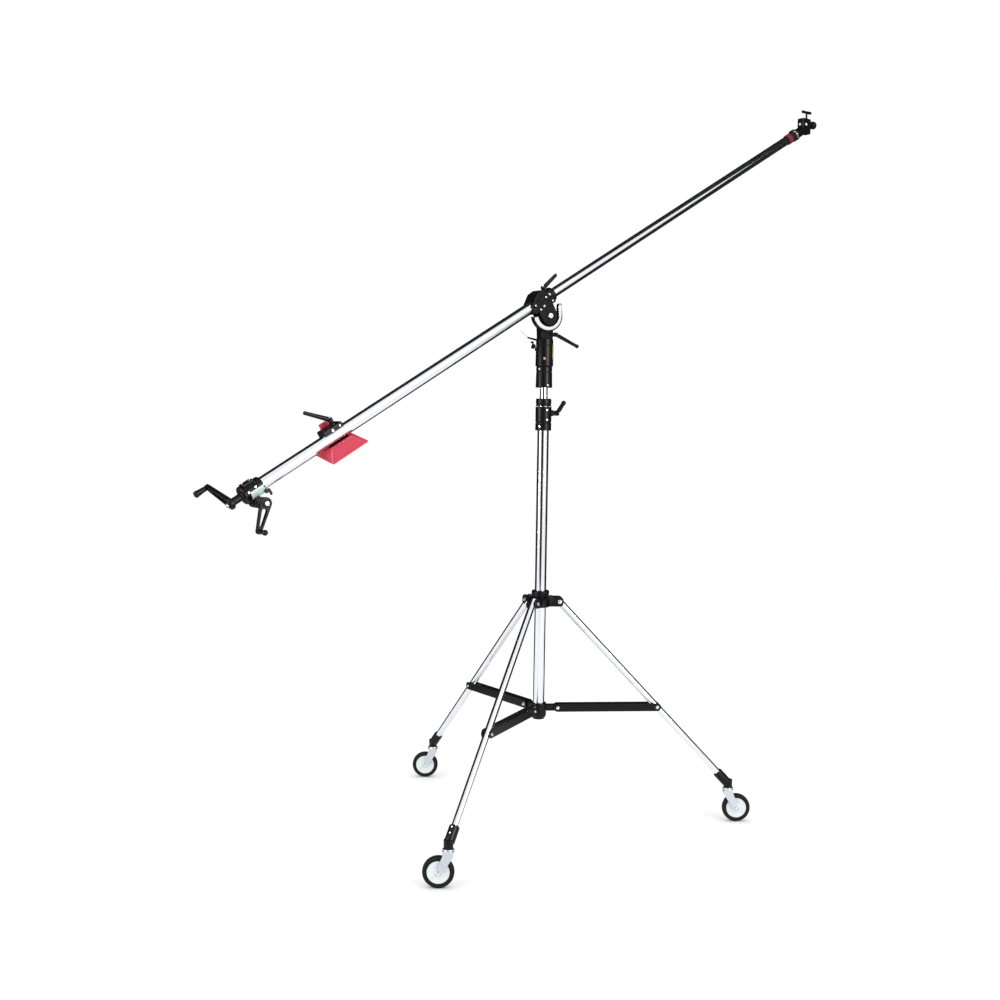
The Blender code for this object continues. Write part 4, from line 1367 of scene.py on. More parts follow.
@dataclass
class Risers:
    """The two telescoping risers, their lock collar and the head with its spigot."""

    layout: Layout

    def build(self) -> None:
        """Makes the risers' pieces."""
        bench, stand = self.layout.bench, self.layout.stand
        Tube("riser_middle_tube", stand).build(bench)
        Tube("riser_top_tube", stand).build(bench)
        low, high, outer, _ = bench.round_of("upper_lock_collar", stand)
        middle = bench.round_of("riser_middle_tube", stand)
        top = bench.round_of("riser_top_tube", stand)[2] + FIT
        step = middle[1] + SEAT_GAP
        points = [
            (top, high), (outer - 2 * MM, high), (outer, high - 3 * MM), (outer, low + 9 * MM),
            (outer - 1.5 * MM, low + 8 * MM),
        ]
        points += [
            (outer - 1.5 * MM, low + 6 * MM), (outer, low + 5 * MM), (outer, low), (middle[2] + FIT, low),
        ]
        points += [(middle[2] + FIT, step), (top, step)]
        collar = Form().lathe(softened(points, 0.9 * MM, True), True, steps=96)
        bench.piece("upper_lock_collar_fine", collar, stand, BLACK, ["upper_lock_collar"])
        knob = mm((0, 62), (9, 62), (12, 58), (12, 48), (9, 45), (5, 44))
        knob += mm((5, 27.3), (0, 27.3))
        fine = Form().lathe(
            softened(knob, 2 * MM), steps=96, flutes=6, depth=1.6 * MM, band=(46 * MM, 61 * MM),
        )
        bench.piece(
            "upper_collar_knob_fine", fine, bench.joint("upper_collar_knob_turn"), GRIP,
            ["upper_collar_knob"],
        )
        self._head(top)

    def _head(self, bore: float) -> None:
        """The riser's head: a banded socket below and the spigot that the receiver turns on.

        Args:
            bore: The radius of its socket.
        """
        bench, stand = self.layout.bench, self.layout.stand
        low, high, outer, _ = bench.round_of("riser_head", stand)
        seat = bench.round_of("riser_top_tube", stand)[1] + SEAT_GAP
        shelf = low + 73 * MM
        points = [
            (0, high), (12 * MM, high), (14 * MM, high - 2 * MM), (14 * MM, shelf), (26 * MM, shelf),
            (28 * MM, shelf - 3 * MM),
        ]
        points += [
            (28 * MM, shelf - 16 * MM), (26.6 * MM, shelf - 17 * MM), (26.6 * MM, shelf - 19 * MM),
            (28 * MM, shelf - 20 * MM),
        ]
        points += [
            (outer - 0.4 * MM, low + 14 * MM), (outer, low + 12 * MM), (outer, low), (bore, low),
            (bore, seat), (0, seat),
        ]
        bench.piece(
            "riser_head_fine", Form().lathe(softened(points, 1.1 * MM), steps=96), stand, BLACK,
            ["riser_head"],
        )
        screws = Form()
        for height, turn in ((low + 8 * MM, -60), (shelf - 9 * MM, -128)):
            place = stand.inverted() @ self.layout.outward(height, 1, turn)
            screws.bolt(place @ Matrix.Translation((0, 0, 27.4 * MM)), 7 * MM, 2 * MM)
        bench.piece("riser_head_screws", screws, stand, STEEL, body="riser_top")


@dataclass
class Receiver:
    """The swivelling receiver with its tongue, its claw knob, its tilt lock and its marks."""

    layout: Layout
    radius: float = 31 * MM

    def build(self) -> None:
        """Makes the receiver's pieces."""
        layout, bench, stand = self.layout, self.layout.bench, self.layout.stand
        pivot = bench.joint("boom_tilt").translation
        low = min(p.z for p in bench.points("boom_receiver", stand))
        self.top = low + 96.7 * MM
        seat = bench.round_of("riser_head", stand)[1] + 0.5 * MM
        bore = 14.3 * MM
        points = [
            (0, self.top), (27 * MM, self.top), (30 * MM, self.top - 4 * MM), (30 * MM, self.top - 22 * MM),
            (29 * MM, self.top - 23 * MM),
        ]
        points += [
            (29 * MM, self.top - 26 * MM), (30.2 * MM, self.top - 27 * MM), (31 * MM, low + 3 * MM),
            (30 * MM, low), (bore, low),
        ]
        points += [(bore, seat), (0, seat)]
        form = Form().lathe(softened(points, 1.2 * MM), steps=96)
        drop = pivot.z - self.top
        outline = [*arc((0, 0), 28 * MM, 0, 180, 28), (-24 * MM, -drop - 6 * MM), (24 * MM, -drop - 6 * MM)]
        tongue = Form().prism(outline, -15 * MM, 15 * MM, 1 * MM, across((0, 0, pivot.z)))
        lock = bench.joint("tilt_lock_lever_turn")
        lug = softened(rod(7.5, 30, 8, 8.5), 1 * MM)
        form.work("UNION", tongue, Form().lathe(lug, place=stand.inverted() @ lock, steps=40))
        form.work("DIFFERENCE", Form().lathe(rod(6.3, 40, -40),
                                             place=across((0, 0, pivot.z)), steps=48))
        bench.piece("boom_receiver_fine", form, stand, BLACK, ["boom_receiver"])
        Lever("tilt_lock_lever", 7.5 * MM, 7 * MM, 5.5 * MM, 7 * MM).build(bench, "tilt_lock_lever_turn")
        self._claw()
        self._pin()
        self._marks(low)

    def _claw(self) -> None:
        """The hooked wing knob on the far side of the receiver."""
        bench = self.layout.bench
        axis = bench.joint("receiver_knob_turn", UP)
        stem = softened(mm((0, 38), (6, 38), (7, 34), (4, 33), (4, 31.3), (0, 31.3)), 0.8 * MM)
        form = Form().lathe(stem, steps=40)
        hook = [*arc((14 * MM, 44 * MM), 5 * MM, 60, 190, 8), *arc((-2 * MM, 41 * MM), 8 * MM, 120, 240, 6)]
        hook += [
            *arc((-14 * MM, 33 * MM), 3 * MM, 150, 300, 6), *arc((0, 35 * MM), 4 * MM, -90, 40, 5),
            (15 * MM, 38 * MM),
        ]
        turn = Matrix(((1, 0, 0, 0), (0, 0, -1, 0), (0, 1, 0, 0), (0, 0, 0, 1)))
        form.work("UNION", Form().prism(hook, -5 * MM, 5 * MM, 1.5 * MM, turn))
        bench.piece("receiver_knob_fine", form, axis, BLACK, ["receiver_knob"])

    def _pin(self) -> None:
        """The retaining pin: a black sleeve that leans out of the receiver, with a thin grey rod in it."""
        bench = self.layout.bench
        place = self.layout.outward(self.top - 6 * MM, -1)
        start, knee, end = Vector((0, 0, 26 * MM)), Vector((9 * MM, 0, 60 * MM)), Vector(
            (35 * MM, 0, 90 * MM),
        )
        sleeve_way = frame_on(start, knee - start, Vector((0, 1, 0)))
        length = (knee - start).length
        shape = softened([(0, 0), (3.6 * MM, 0), (3 * MM, length), (0, length)], 1 * MM)
        bench.piece(
            "receiver_pin_sleeve", Form().lathe(shape, place=sleeve_way, steps=32), place, BLACK,
            body="receiver",
        )
        rod_way = frame_on(knee - (knee - start).normalized() * 2 * MM, end - knee, Vector((0, 1, 0)))
        length = (end - knee).length
        shape = softened([(0, 0), (1.5 * MM, 0), (1.2 * MM, length), (0, length)], 0.8 * MM)
        bench.piece(
            "receiver_pin_rod", Form().lathe(shape, place=rod_way, steps=24), place, PALE_ROD,
            body="receiver",
        )

    def _marks(self, low: float) -> None:
        """The green strip on the lever side and the orange dot in front.

        Args:
            low: The receiver's lower end.
        """
        bench = self.layout.bench
        place = self.layout.outward(low, 1)
        inner, outer = self.radius - 0.4 * MM, self.radius + 1.6 * MM
        outline = arc((0, 0), outer, -24, 16, 14) + arc((0, 0), inner, 16, -24, 14)
        upright = Matrix(((0, 0, 1, 0), (0, -1, 0, 0), (1, 0, 0, 0), (0, 0, 0, 1)))
        strip = Form().prism(outline, 26 * MM, 74 * MM, 0.15 * MM, upright)
        bench.piece("receiver_strip", strip, place, TAG_GREEN, body="receiver")
        dot = Form().lathe(softened(rod(4.2, 1, -1), 0.4 * MM), steps=32)
        spot = self.layout.outward(low + 27 * MM, 1, -90) @ Matrix.Translation((0, 0, self.radius))
        bench.piece("receiver_dot", dot, spot, ORANGE, body="receiver")


@dataclass
class Clamp:
    """The boom clamp: base with its cheeks, hump-backed cap, rim, pivot bolt, lever and screws."""

    layout: Layout
    half: float = 29 * MM
    lean: float = 3 * MM

    def build(self) -> None:
        """Makes the clamp's pieces."""
        bench, boom = self.layout.bench, self.layout.boom
        points = bench.points("clamp_cap", boom)
        self.rear, self.front = min(p.x for p in points), max(p.x for p in points)
        self.bore = bench.round_of("boom_outer_tube", self.layout.tube)[2] + FIT
        self._base()
        self._cap()
        self._rim()
        self._bolts()
        Lever("clamp_lever", 10 * MM, 8 * MM, 6 * MM, 0.0, 0.8).build(bench, "clamp_lever_turn")

    def _hole(self) -> Form:
        """The bore of the boom tube as a cutter."""
        tool = [(0, 0.1), (self.bore, 0.1), (self.bore, -0.1), (0, -0.1)]
        return Form().lathe(tool, place=lying((0, 0, self.layout.rise)), steps=96)

    def _base(self) -> None:
        """The saddle with the two cheeks that hold the tongue."""
        bench, rise, half = self.layout.bench, self.layout.rise, self.half
        form = Form().block(
            (self.rear, -half, 30 * MM), (self.front, half, rise - 0.5 * MM), 3 * MM, segments=4,
        )
        cheeks = []
        for radius, low, high in ((33 * MM, 15.5 * MM, 28 * MM), (30 * MM, -22.5 * MM, -15.5 * MM)):
            outline = [*arc((0, 0), radius, 180, 360, 40), (radius, 33 * MM), (-radius, 33 * MM)]
            cheeks.append(Form().prism(outline, low, high, 1.5 * MM, across(), 3))
        wide = half + 1.2 * MM
        ribs = [
            Form().block((x, -wide, 31 * MM), (x + 5 * MM, wide, rise - 3 * MM), 1 * MM)
            for x in (self.rear + 9 * MM, self.front - 15 * MM)
        ]
        form.work("UNION", *cheeks, *ribs)
        bolt = Form().lathe(rod(6.3, 40, -40), place=across(), steps=48)
        form.work("DIFFERENCE", bolt, self._hole())
        bench.piece("clamp_base_fine", form, self.layout.boom, BLACK, ["clamp_base"])

    def _cap(self) -> None:
        """The cap over the tube."""
        half = self.half
        hump = [
            (self.rear, 0.5 * MM), (self.front, 0.5 * MM), (self.front, 25 * MM), (26 * MM, 25 * MM),
            (16 * MM, 38 * MM),
        ]
        hump += [(-14 * MM, 36 * MM), (self.rear, 10 * MM)]
        rise = self.layout.rise
        form = Form().prism(softened(hump, 5 * MM, True, 4), -half, half, 2.5 * MM, across((0, 0, rise)), 4)
        slots = []
        floor, over = half * 0.88, half + 5 * MM
        for x, low in mm((-30, 10), (-12, 16), (6, 16)):
            for near, far in ((-over, -floor), (floor, over)):
                corner = (x + 12 * MM, far, rise + low + 11 * MM)
                slots.append(Form().block((x, near, rise + low), corner, 1.4 * MM))
        form.work("DIFFERENCE", self._hole(), *slots)
        self.layout.bench.piece("clamp_cap_fine", form, self.layout.boom, BLACK, ["clamp_cap"])

    def _rim(self) -> None:
        """The rim: a black casting with a polished face let into it, upright while the boom is at rest."""
        bench = self.layout.bench
        place = Matrix.Translation(self.layout.boom.translation)

        shape = self._horseshoe((64 * MM, 55 * MM), (43.5 * MM, 36 * MM), 44 * MM, 188)
        body = Form().prism(shape, 15.5 * MM, 29.2 * MM, 1 * MM, across(), 3)
        bench.piece("clamp_rim_fine", body, place, BLACK, ["clamp_rim"])
        shape = self._horseshoe((58.5 * MM, 50 * MM), (45.5 * MM, 38.5 * MM), 40.5 * MM, 191)
        face = Form().prism(shape, 26 * MM, 31 * MM, 0.8 * MM, across(), 3)
        bench.piece("clamp_rim_face", face, place, ALLOY, body="clamp")

    def _horseshoe(self, outer: Point, inner: Point, tip: float, start: float) -> list[Point]:
        """A U between two half ellipses, with its front branch carried up to a tip.

        Args:
            outer: The outer ellipse's half axes.
            inner: The inner ellipse's half axes.
            tip: The height of the front branch.
            start: Where the rear branch ends, in degrees.

        Returns:
            The outline.
        """
        outside = [(x * outer[0] - 10 * MM, y * outer[1]) for x, y in arc((0, 0), 1, start, 360, 60)]
        inside = [(x * inner[0] - 7 * MM, y * inner[1]) for x, y in arc((0, 0), 1, 360, start, 60)]
        middle = (outside[-1][0] - self.lean + inside[0][0]) / 2
        return outside + arc((middle, tip - 7 * MM), 7.5 * MM, 0, 180, 12) + inside

    def _bolts(self) -> None:
        """The pivot bolt and the screws of the clamp."""
        bench, boom, rise, half = self.layout.bench, self.layout.boom, self.layout.rise, self.half
        near = across((0, -28.2 * MM, 0))
        far = Matrix.Rotation(math.pi, 4, "Z") @ across((0, -22.8 * MM, 0))
        form = Form().lathe(rod(6, 28.5, -23), place=across(), steps=48)
        shape = softened(mm((0, 8.6), (8.6, 8.6), (10, 6), (10, 0), (0, 0)), 1.6 * MM)
        form.lathe(shape, place=near, steps=64)
        form.bolt(far, 15 * MM, 6.4 * MM, False)
        bench.piece("pivot_bolt_fine", form, boom, ALLOY, ["pivot_bolt"])
        ring = softened(mm((13, 28), (15, 28), (15, 29.4), (13, 29.4)), 0.5 * MM, True)
        bench.piece(
            "pivot_washer", Form().lathe(ring, True, place=across(), steps=64), boom, BLACK, body="clamp",
        )
        heads = Form()
        spots = (
            (-26, -17, 7.4), (-8, -13, 8.4), (14, 10, 7.0), (32, 12, 8.4), (34, -13, 7.0), (-40, 5, 7.0),
        )
        for x, z, size in spots:
            for side in (0, math.pi):
                turn = Matrix.Rotation(side, 4, "Z")
                x_here = x if side == 0 else -x
                heads.bolt(
                    turn @ across((x_here * MM, -half - 0.8 * MM, rise + z * MM)), size * MM, 3.4 * MM,
                )
        bench.piece("clamp_screws", heads, boom, STEEL, body="clamp")


# ---------------------------------------------------------------- boom


@dataclass
class Boom:
    """The telescoping boom with its lock collar, end ring, bearing and drive shafts."""

    layout: Layout

    def build(self) -> None:
        """Makes the boom's pieces."""
        bench, tube = self.layout.bench, self.layout.tube
        Tube("boom_outer_tube", tube, steps=128).build(bench)
        Tube("boom_inner_tube", tube, steps=128).build(bench)
        Tube("boom_end_ring", tube, RED_EDGE, 0.8 * MM).build(bench)
        Tube("shaft_bearing", tube, ALLOY, 0.4 * MM).build(bench)
        Tube("drive_shaft_rear", tube, ZINC, 0.3 * MM, 48).build(bench)
        low, high, outer, _ = bench.round_of("drive_shaft_front", tube)
        rod = softened([(0, low), (outer, low), (outer, high), (0, high)], 0.4 * MM)
        bench.piece(
            "drive_shaft_front_fine", Form().lathe(rod, steps=48), tube, ZINC, ["drive_shaft_front"],
        )
        low, high, outer, _ = bench.round_of("boom_lock_collar", tube)
        big = bench.round_of("boom_outer_tube", tube)
        step = big[1] + SEAT_GAP
        small = bench.round_of("boom_inner_tube", tube)[2] + FIT
        points = [
            (small, high), (outer - 1 * MM, high), (outer, high - 2 * MM), (outer, low),
            (big[2] + FIT, low),
        ]
        points += [(big[2] + FIT, step), (small, step)]
        fine = Form().lathe(
            softened(points, 0.8 * MM, True), True, steps=96, flutes=24, depth=0.7 * MM,
            band=(low + 2 * MM, high - 3 * MM),
        )
        bench.piece("boom_lock_collar_fine", fine, tube, BLACK, ["boom_lock_collar"])


@dataclass
class GearHousing:
    """The gear housing on the boom's rear end with a mint half sleeve that paints a reflection of the plated
    tube, its screws and catch.
    """

    layout: Layout

    def build(self) -> None:
        """Makes the housing's pieces."""
        layout, bench, tube = self.layout, self.layout.bench, self.layout.tube
        side = bench.joint("tilt_crank_turn")
        spot = layout.boom.inverted() @ side.translation
        self.along, self.below = spot.x, spot.z - layout.rise
        points = bench.points("gear_housing", tube)
        self.rear = min(p.z for p in points)
        self.front = max(p.z for p in points)
        self._body()
        self._trim()

    def _body(self) -> None:
        """The barrel with its rear flange, the neck and the cross gearbox."""
        layout, bench = self.layout, self.layout.bench
        rear, front, tube = self.rear, self.front, layout.tube
        big = bench.round_of("boom_outer_tube", tube)
        seat = big[0] - SEAT_GAP
        points = [
            (0, seat), (big[2] + FIT, seat), (big[2] + FIT, front), (25 * MM, front),
            (27 * MM, front - 3 * MM),
        ]
        points += [
            (27 * MM, front - 20 * MM), (26 * MM, front - 21 * MM), (26 * MM, front - 24 * MM),
            (27 * MM, front - 25 * MM),
        ]
        points += [
            (27 * MM, rear + 10 * MM), (30 * MM, rear + 8 * MM), (30 * MM, rear + 2 * MM), (28 * MM, rear),
            (0, rear),
        ]
        form = Form().lathe(softened(points, 1 * MM), steps=96)
        to_tube = tube.inverted() @ layout.boom
        axis = to_tube @ Matrix.Translation((self.along, 0, layout.rise + self.below))
        shape = softened(
            mm(
                (0, 56), (16, 56), (18, 53), (18, 40), (16.6, 39), (16.6, 36), (18, 35), (18, -20),
                (16, -22), (0, -22),
            ),
            1 * MM,
        )
        box = Form().lathe(shape, place=axis @ across(), steps=72)
        neck = Form().block((-16 * MM, -17 * MM, 0), (14 * MM, 17 * MM, -self.below), 3 * MM, axis)
        lid = Form().block(
            (-20 * MM, -15 * MM, -self.below + 22 * MM), (22 * MM, 15 * MM, -self.below + 31 * MM), 3 * MM,
            axis,
        )
        form.work("UNION", box, neck, lid)
        shaft = Form().lathe([(0, -1.4), (8.4 * MM, -1.4), (8.4 * MM, -1.2), (0, -1.2)], steps=48)
        cross = Form().lathe(rod(6.4, 80, -10), place=axis @ across(), steps=48)
        form.work("DIFFERENCE", shaft, cross)
        bench.piece("gear_housing_fine", form, tube, BLACK, ["gear_housing"])

    def _trim(self) -> None:
        """The mint half sleeve under the barrel (a painted reflection of the plated tube), its screws and the
        catch beside it.
        """
        layout, bench, boom = self.layout, self.layout.bench, self.layout.boom
        # A mint strip over the barrel's lower side: painted reflection of the plated tube.
        inner, outer = 27.1 * MM, 28.6 * MM
        outline = arc((0, 0), outer, -44, 44, 30) + arc((0, 0), inner, 44, -44, 30)
        spin = Matrix.Rotation(math.radians(-52), 4, "Z")
        form = Form().prism(outline, self.front - 52 * MM, self.front - 4 * MM, 0.5 * MM, spin, 2)
        bench.piece("housing_reflection_sleeve", form, layout.tube, MINT_PAINTED_REFLECTION, body="boom_outer")
        screws = Form()
        for x, y, z, size in ((-16, -29.4, 5, 7), (12, -28.2, 9, 7)):
            screws.bolt(
                across((self.along + x * MM, y * MM + 3 * MM, layout.rise + z * MM)), size * MM, 3.4 * MM,
            )
        for x in (-12, 14):
            lid = Matrix.Translation((self.along + x * MM, 0, layout.rise + 31 * MM))
            screws.bolt(lid, 7 * MM, 2.6 * MM)
        bench.piece("housing_screws", screws, boom, STEEL, body="boom_outer")
        hook = [(-7, 4), (6, 6), (12, 2), (13, -14), (9, -20), (5, -18), (7, -8), (-6, -6)]
        outline = softened([(x * MM, z * MM) for x, z in hook], 2.4 * MM, True, 4)
        place = across((self.front - 4 * MM, -27 * MM, layout.rise - 20 * MM))
        catch = Form().prism(outline, -3 * MM, 4 * MM, 1 * MM, place, 3)
        bench.piece("housing_catch", catch, boom, BLACK, body="boom_outer")


@dataclass
class Crank:
    """A hand crank: a forked arm with an open middle, its shaft and a free-turning grip."""

    layout: Layout
    name: str
    shaft: float
    ball: float = 0.0
    thick: float = 13 * MM

    def build(self) -> None:
        """Makes the arm and the grip."""
        bench = self.layout.bench
        arm_node, grip_node = self.name + "_crank_arm", self.name + "_crank_grip"
        hub, spin = bench.joint(self.name + "_crank_turn"), bench.joint(self.name + "_grip_spin")
        outward = spin.col[2].to_3d()
        place = frame_on(hub.translation, outward, spin.translation - hub.translation)
        reach = (place.inverted() @ spin.translation).x
        base = min(p.z for p in bench.points(arm_node, place) if p.x > reach * 0.5)
        thick = self.thick
        flat = Matrix.Translation((0, 0, base))
        form = Form().prism(strap(reach, 19 * MM, 9 * MM, 24), 0, thick, 2.6 * MM, flat, 4)
        window = Form().prism(
            strap(reach * 0.50, 8.5 * MM, 4.5 * MM, 16), -5 * MM, thick + 5 * MM, 0,
            flat @ Matrix.Translation((24 * MM, 0, 0)),
        )
        depth = min(p.z for p in bench.points(arm_node, place)) - base
        boss = softened(
            [(0, thick + 4 * MM), (12 * MM, thick + 4 * MM), (12 * MM, -2 * MM), (0, -2 * MM)], 1.6 * MM,
        )
        stub = softened([(0, 2 * MM), (self.shaft, 2 * MM), (self.shaft, depth), (0, depth)], 0.5 * MM)
        top = max(p.z for p in bench.points(grip_node, place))
        pin = [
            (0, 4 * MM), (3.5 * MM, 4 * MM), (3.5 * MM, top - base - 0.4 * MM), (0, top - base - 0.4 * MM),
        ]
        form.work("DIFFERENCE", window)
        form.work("UNION", Form().lathe(boss, place=flat, steps=56), Form().lathe(stub, place=flat, steps=48),
                  Form().lathe(pin, place=flat @ Matrix.Translation((reach, 0, 0)), steps=32))
        bench.piece(arm_node + "_fine", form, place, BLACK, [arm_node])
        self._grip(grip_node, spin, place, base, top)
        cap = Form().bolt(Matrix.Translation((0, 0, base + thick + 4 * MM)), 13 * MM, 4 * MM)
        bench.piece(self.name + "_crank_screw", cap, place, STEEL, body=bench.body_of[arm_node])

    def _grip(self, node: str, spin: Matrix, place: Matrix, base: float, top: float) -> None:
        """The turning grip with its finger swell.

        Args:
            node: The grip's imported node.
            spin: Its own axis.
            place: The arm's frame.
            base: The arm's inner face.
            top: The grip's outer end.
        """
        bench, foot = self.layout.bench, base + self.thick + 1 * MM
        shift = (place.inverted() @ spin.translation).z
        foot, top = foot - shift, top - shift
        span = top - foot
        if self.ball:
            points = [
                (3.8 * MM, foot), (8 * MM, foot), (7 * MM, foot + 0.3 * span),
                (6.4 * MM, top - 1.7 * self.ball),
            ]
            points += arc((0, top - self.ball), self.ball, -52, 66, 14)
            points += [(3.8 * MM, top)]
        else:
            points = [
                (3.8 * MM, foot), (8 * MM, foot), (8.6 * MM, foot + 0.35 * span),
                (9.4 * MM, foot + 0.55 * span),
            ]
            points += [(11 * MM, top - 6 * MM), (9.4 * MM, top - 1 * MM), (3.8 * MM, top)]
        form = Form().lathe(softened(points, 1.8 * MM, True), True, steps=72)
        bench.piece(node + "_fine", form, frame_on(spin.translation, spin.col[2].to_3d()), GRIP, [node])


@dataclass
class Counterweight:
    """The sliding weight: a red wedge, a black jaw with a bright bolt, and a clamping lever."""

    layout: Layout

    def build(self) -> None:
        """Makes the weight's pieces."""
        layout, bench = self.layout, self.layout.bench
        spot = layout.boom.inverted() @ bench.joint("counterweight_lever_turn").translation
        self.place = layout.along(spot.x - 12 * MM)
        self._block()
        self._jaw()
        Lever(
            "counterweight_lever", 8 * MM, 8 * MM, 6 * MM, 0.0, 0.75,
        ).build(bench, "counterweight_lever_turn")

    def _wedge(
        self, top: float, bottom: float, near: Point, far: Point, low: Point, high: float, bevel: float,
    ) -> Form:
        """A wedge whose lower face leans.

        Args:
            top: Half its length at the top.
            bottom: Half its length at the bottom.
            near: Its near faces at the top and the bottom.
            far: Its far faces at the top and the bottom.
            low: Its lower heights, near and far.
            high: Its upper height.
            bevel: The rounding of its edges.

        Returns:
            The wedge.
        """
        form = Form()
        corners = [
            (-bottom, -near[1], low[0]), (bottom, -near[1], low[0]), (bottom, far[1], low[1]),
            (-bottom, far[1], low[1]),
        ]
        corners += [
            (-top, -near[0], high), (top, -near[0], high), (top, far[0], high), (-top, far[0], high),
        ]
        verts = [form.mesh.verts.new(c) for c in corners]
        quads = ((0, 3, 2, 1), (4, 5, 6, 7), (0, 1, 5, 4), (1, 2, 6, 5), (2, 3, 7, 6), (3, 0, 4, 7))
        faces = [form.mesh.faces.new([verts[i] for i in quad]) for quad in quads]
        bmesh.ops.recalc_face_normals(form.mesh, faces=faces)
        form.soften(faces, bevel, 6)
        return form

    def _block(self) -> None:
        """The red casting with a raised panel on its near face."""
        bench = self.layout.bench
        near, far, floor = mm((30, 55), (34, 46), (-63, -30))
        form = self._wedge(44 * MM, 75 * MM, near, far, floor, -22.5 * MM, 6 * MM)
        wall = Form().block(*mm((-16, 32.5, -34), (22, 44, 46)), 3.2 * MM, segments=4)
        form.work("UNION", wall)
        low, high = Vector((0, -55 * MM, -63 * MM)), Vector((0, -30 * MM, -22.5 * MM))
        slope = high - low
        face = frame_on((low + high) / 2, Vector((1, 0, 0)).cross(slope), Vector((1, 0, 0)))
        length = slope.length / 2
        outline = [
            (-61 * MM, -length + 10 * MM), (61 * MM, -length + 10 * MM), (43 * MM, length - 9 * MM),
            (-43 * MM, length - 9 * MM),
        ]
        form.work(
            "UNION", Form().prism(softened(outline, 5 * MM, True, 5), -3 * MM, 1.6 * MM, 1 * MM, face, 3),
        )
        bench.piece("counterweight_fine", form, self.place, RED, ["counterweight"], sharp=28)

    def _jaw(self) -> None:
        """The jaw that grips the tube, with its bolt."""
        bench = self.layout.bench
        bore = bench.round_of("boom_outer_tube", self.layout.tube)[2] + FIT
        form = Form().block(*mm((-37, -14, -22.2), (37, 32.2, 32)), 3 * MM, segments=4)
        boss = softened(rod(11, 38, 26, 12), 1.2 * MM)
        form.work("UNION", Form().lathe(boss, place=Matrix.Translation((12 * MM, 4 * MM, 0)), steps=56))
        mouth = Form().block(*mm((-50, -40, -19.5), (50, 0, 12)))
        tube = Form().lathe(
            [(0, 60 * MM), (bore, 60 * MM), (bore, -60 * MM), (0, -60 * MM)], place=lying(), steps=96,
        )
        form.work("DIFFERENCE", mouth, tube)
        bench.piece("counterweight_jaw_fine", form, self.place, BLACK, ["counterweight_jaw"])
        bolts = Form()
        bolts.bolt(across((-6 * MM, -14 * MM, 22 * MM)), 10 * MM, 5 * MM)
        bolts.bolt(across((24 * MM, -14 * MM, 23 * MM)), 7 * MM, 3 * MM)
        bench.piece("jaw_bolts", bolts, self.place, ALLOY, body="counterweight")


# ---------------------------------------------------------------- head


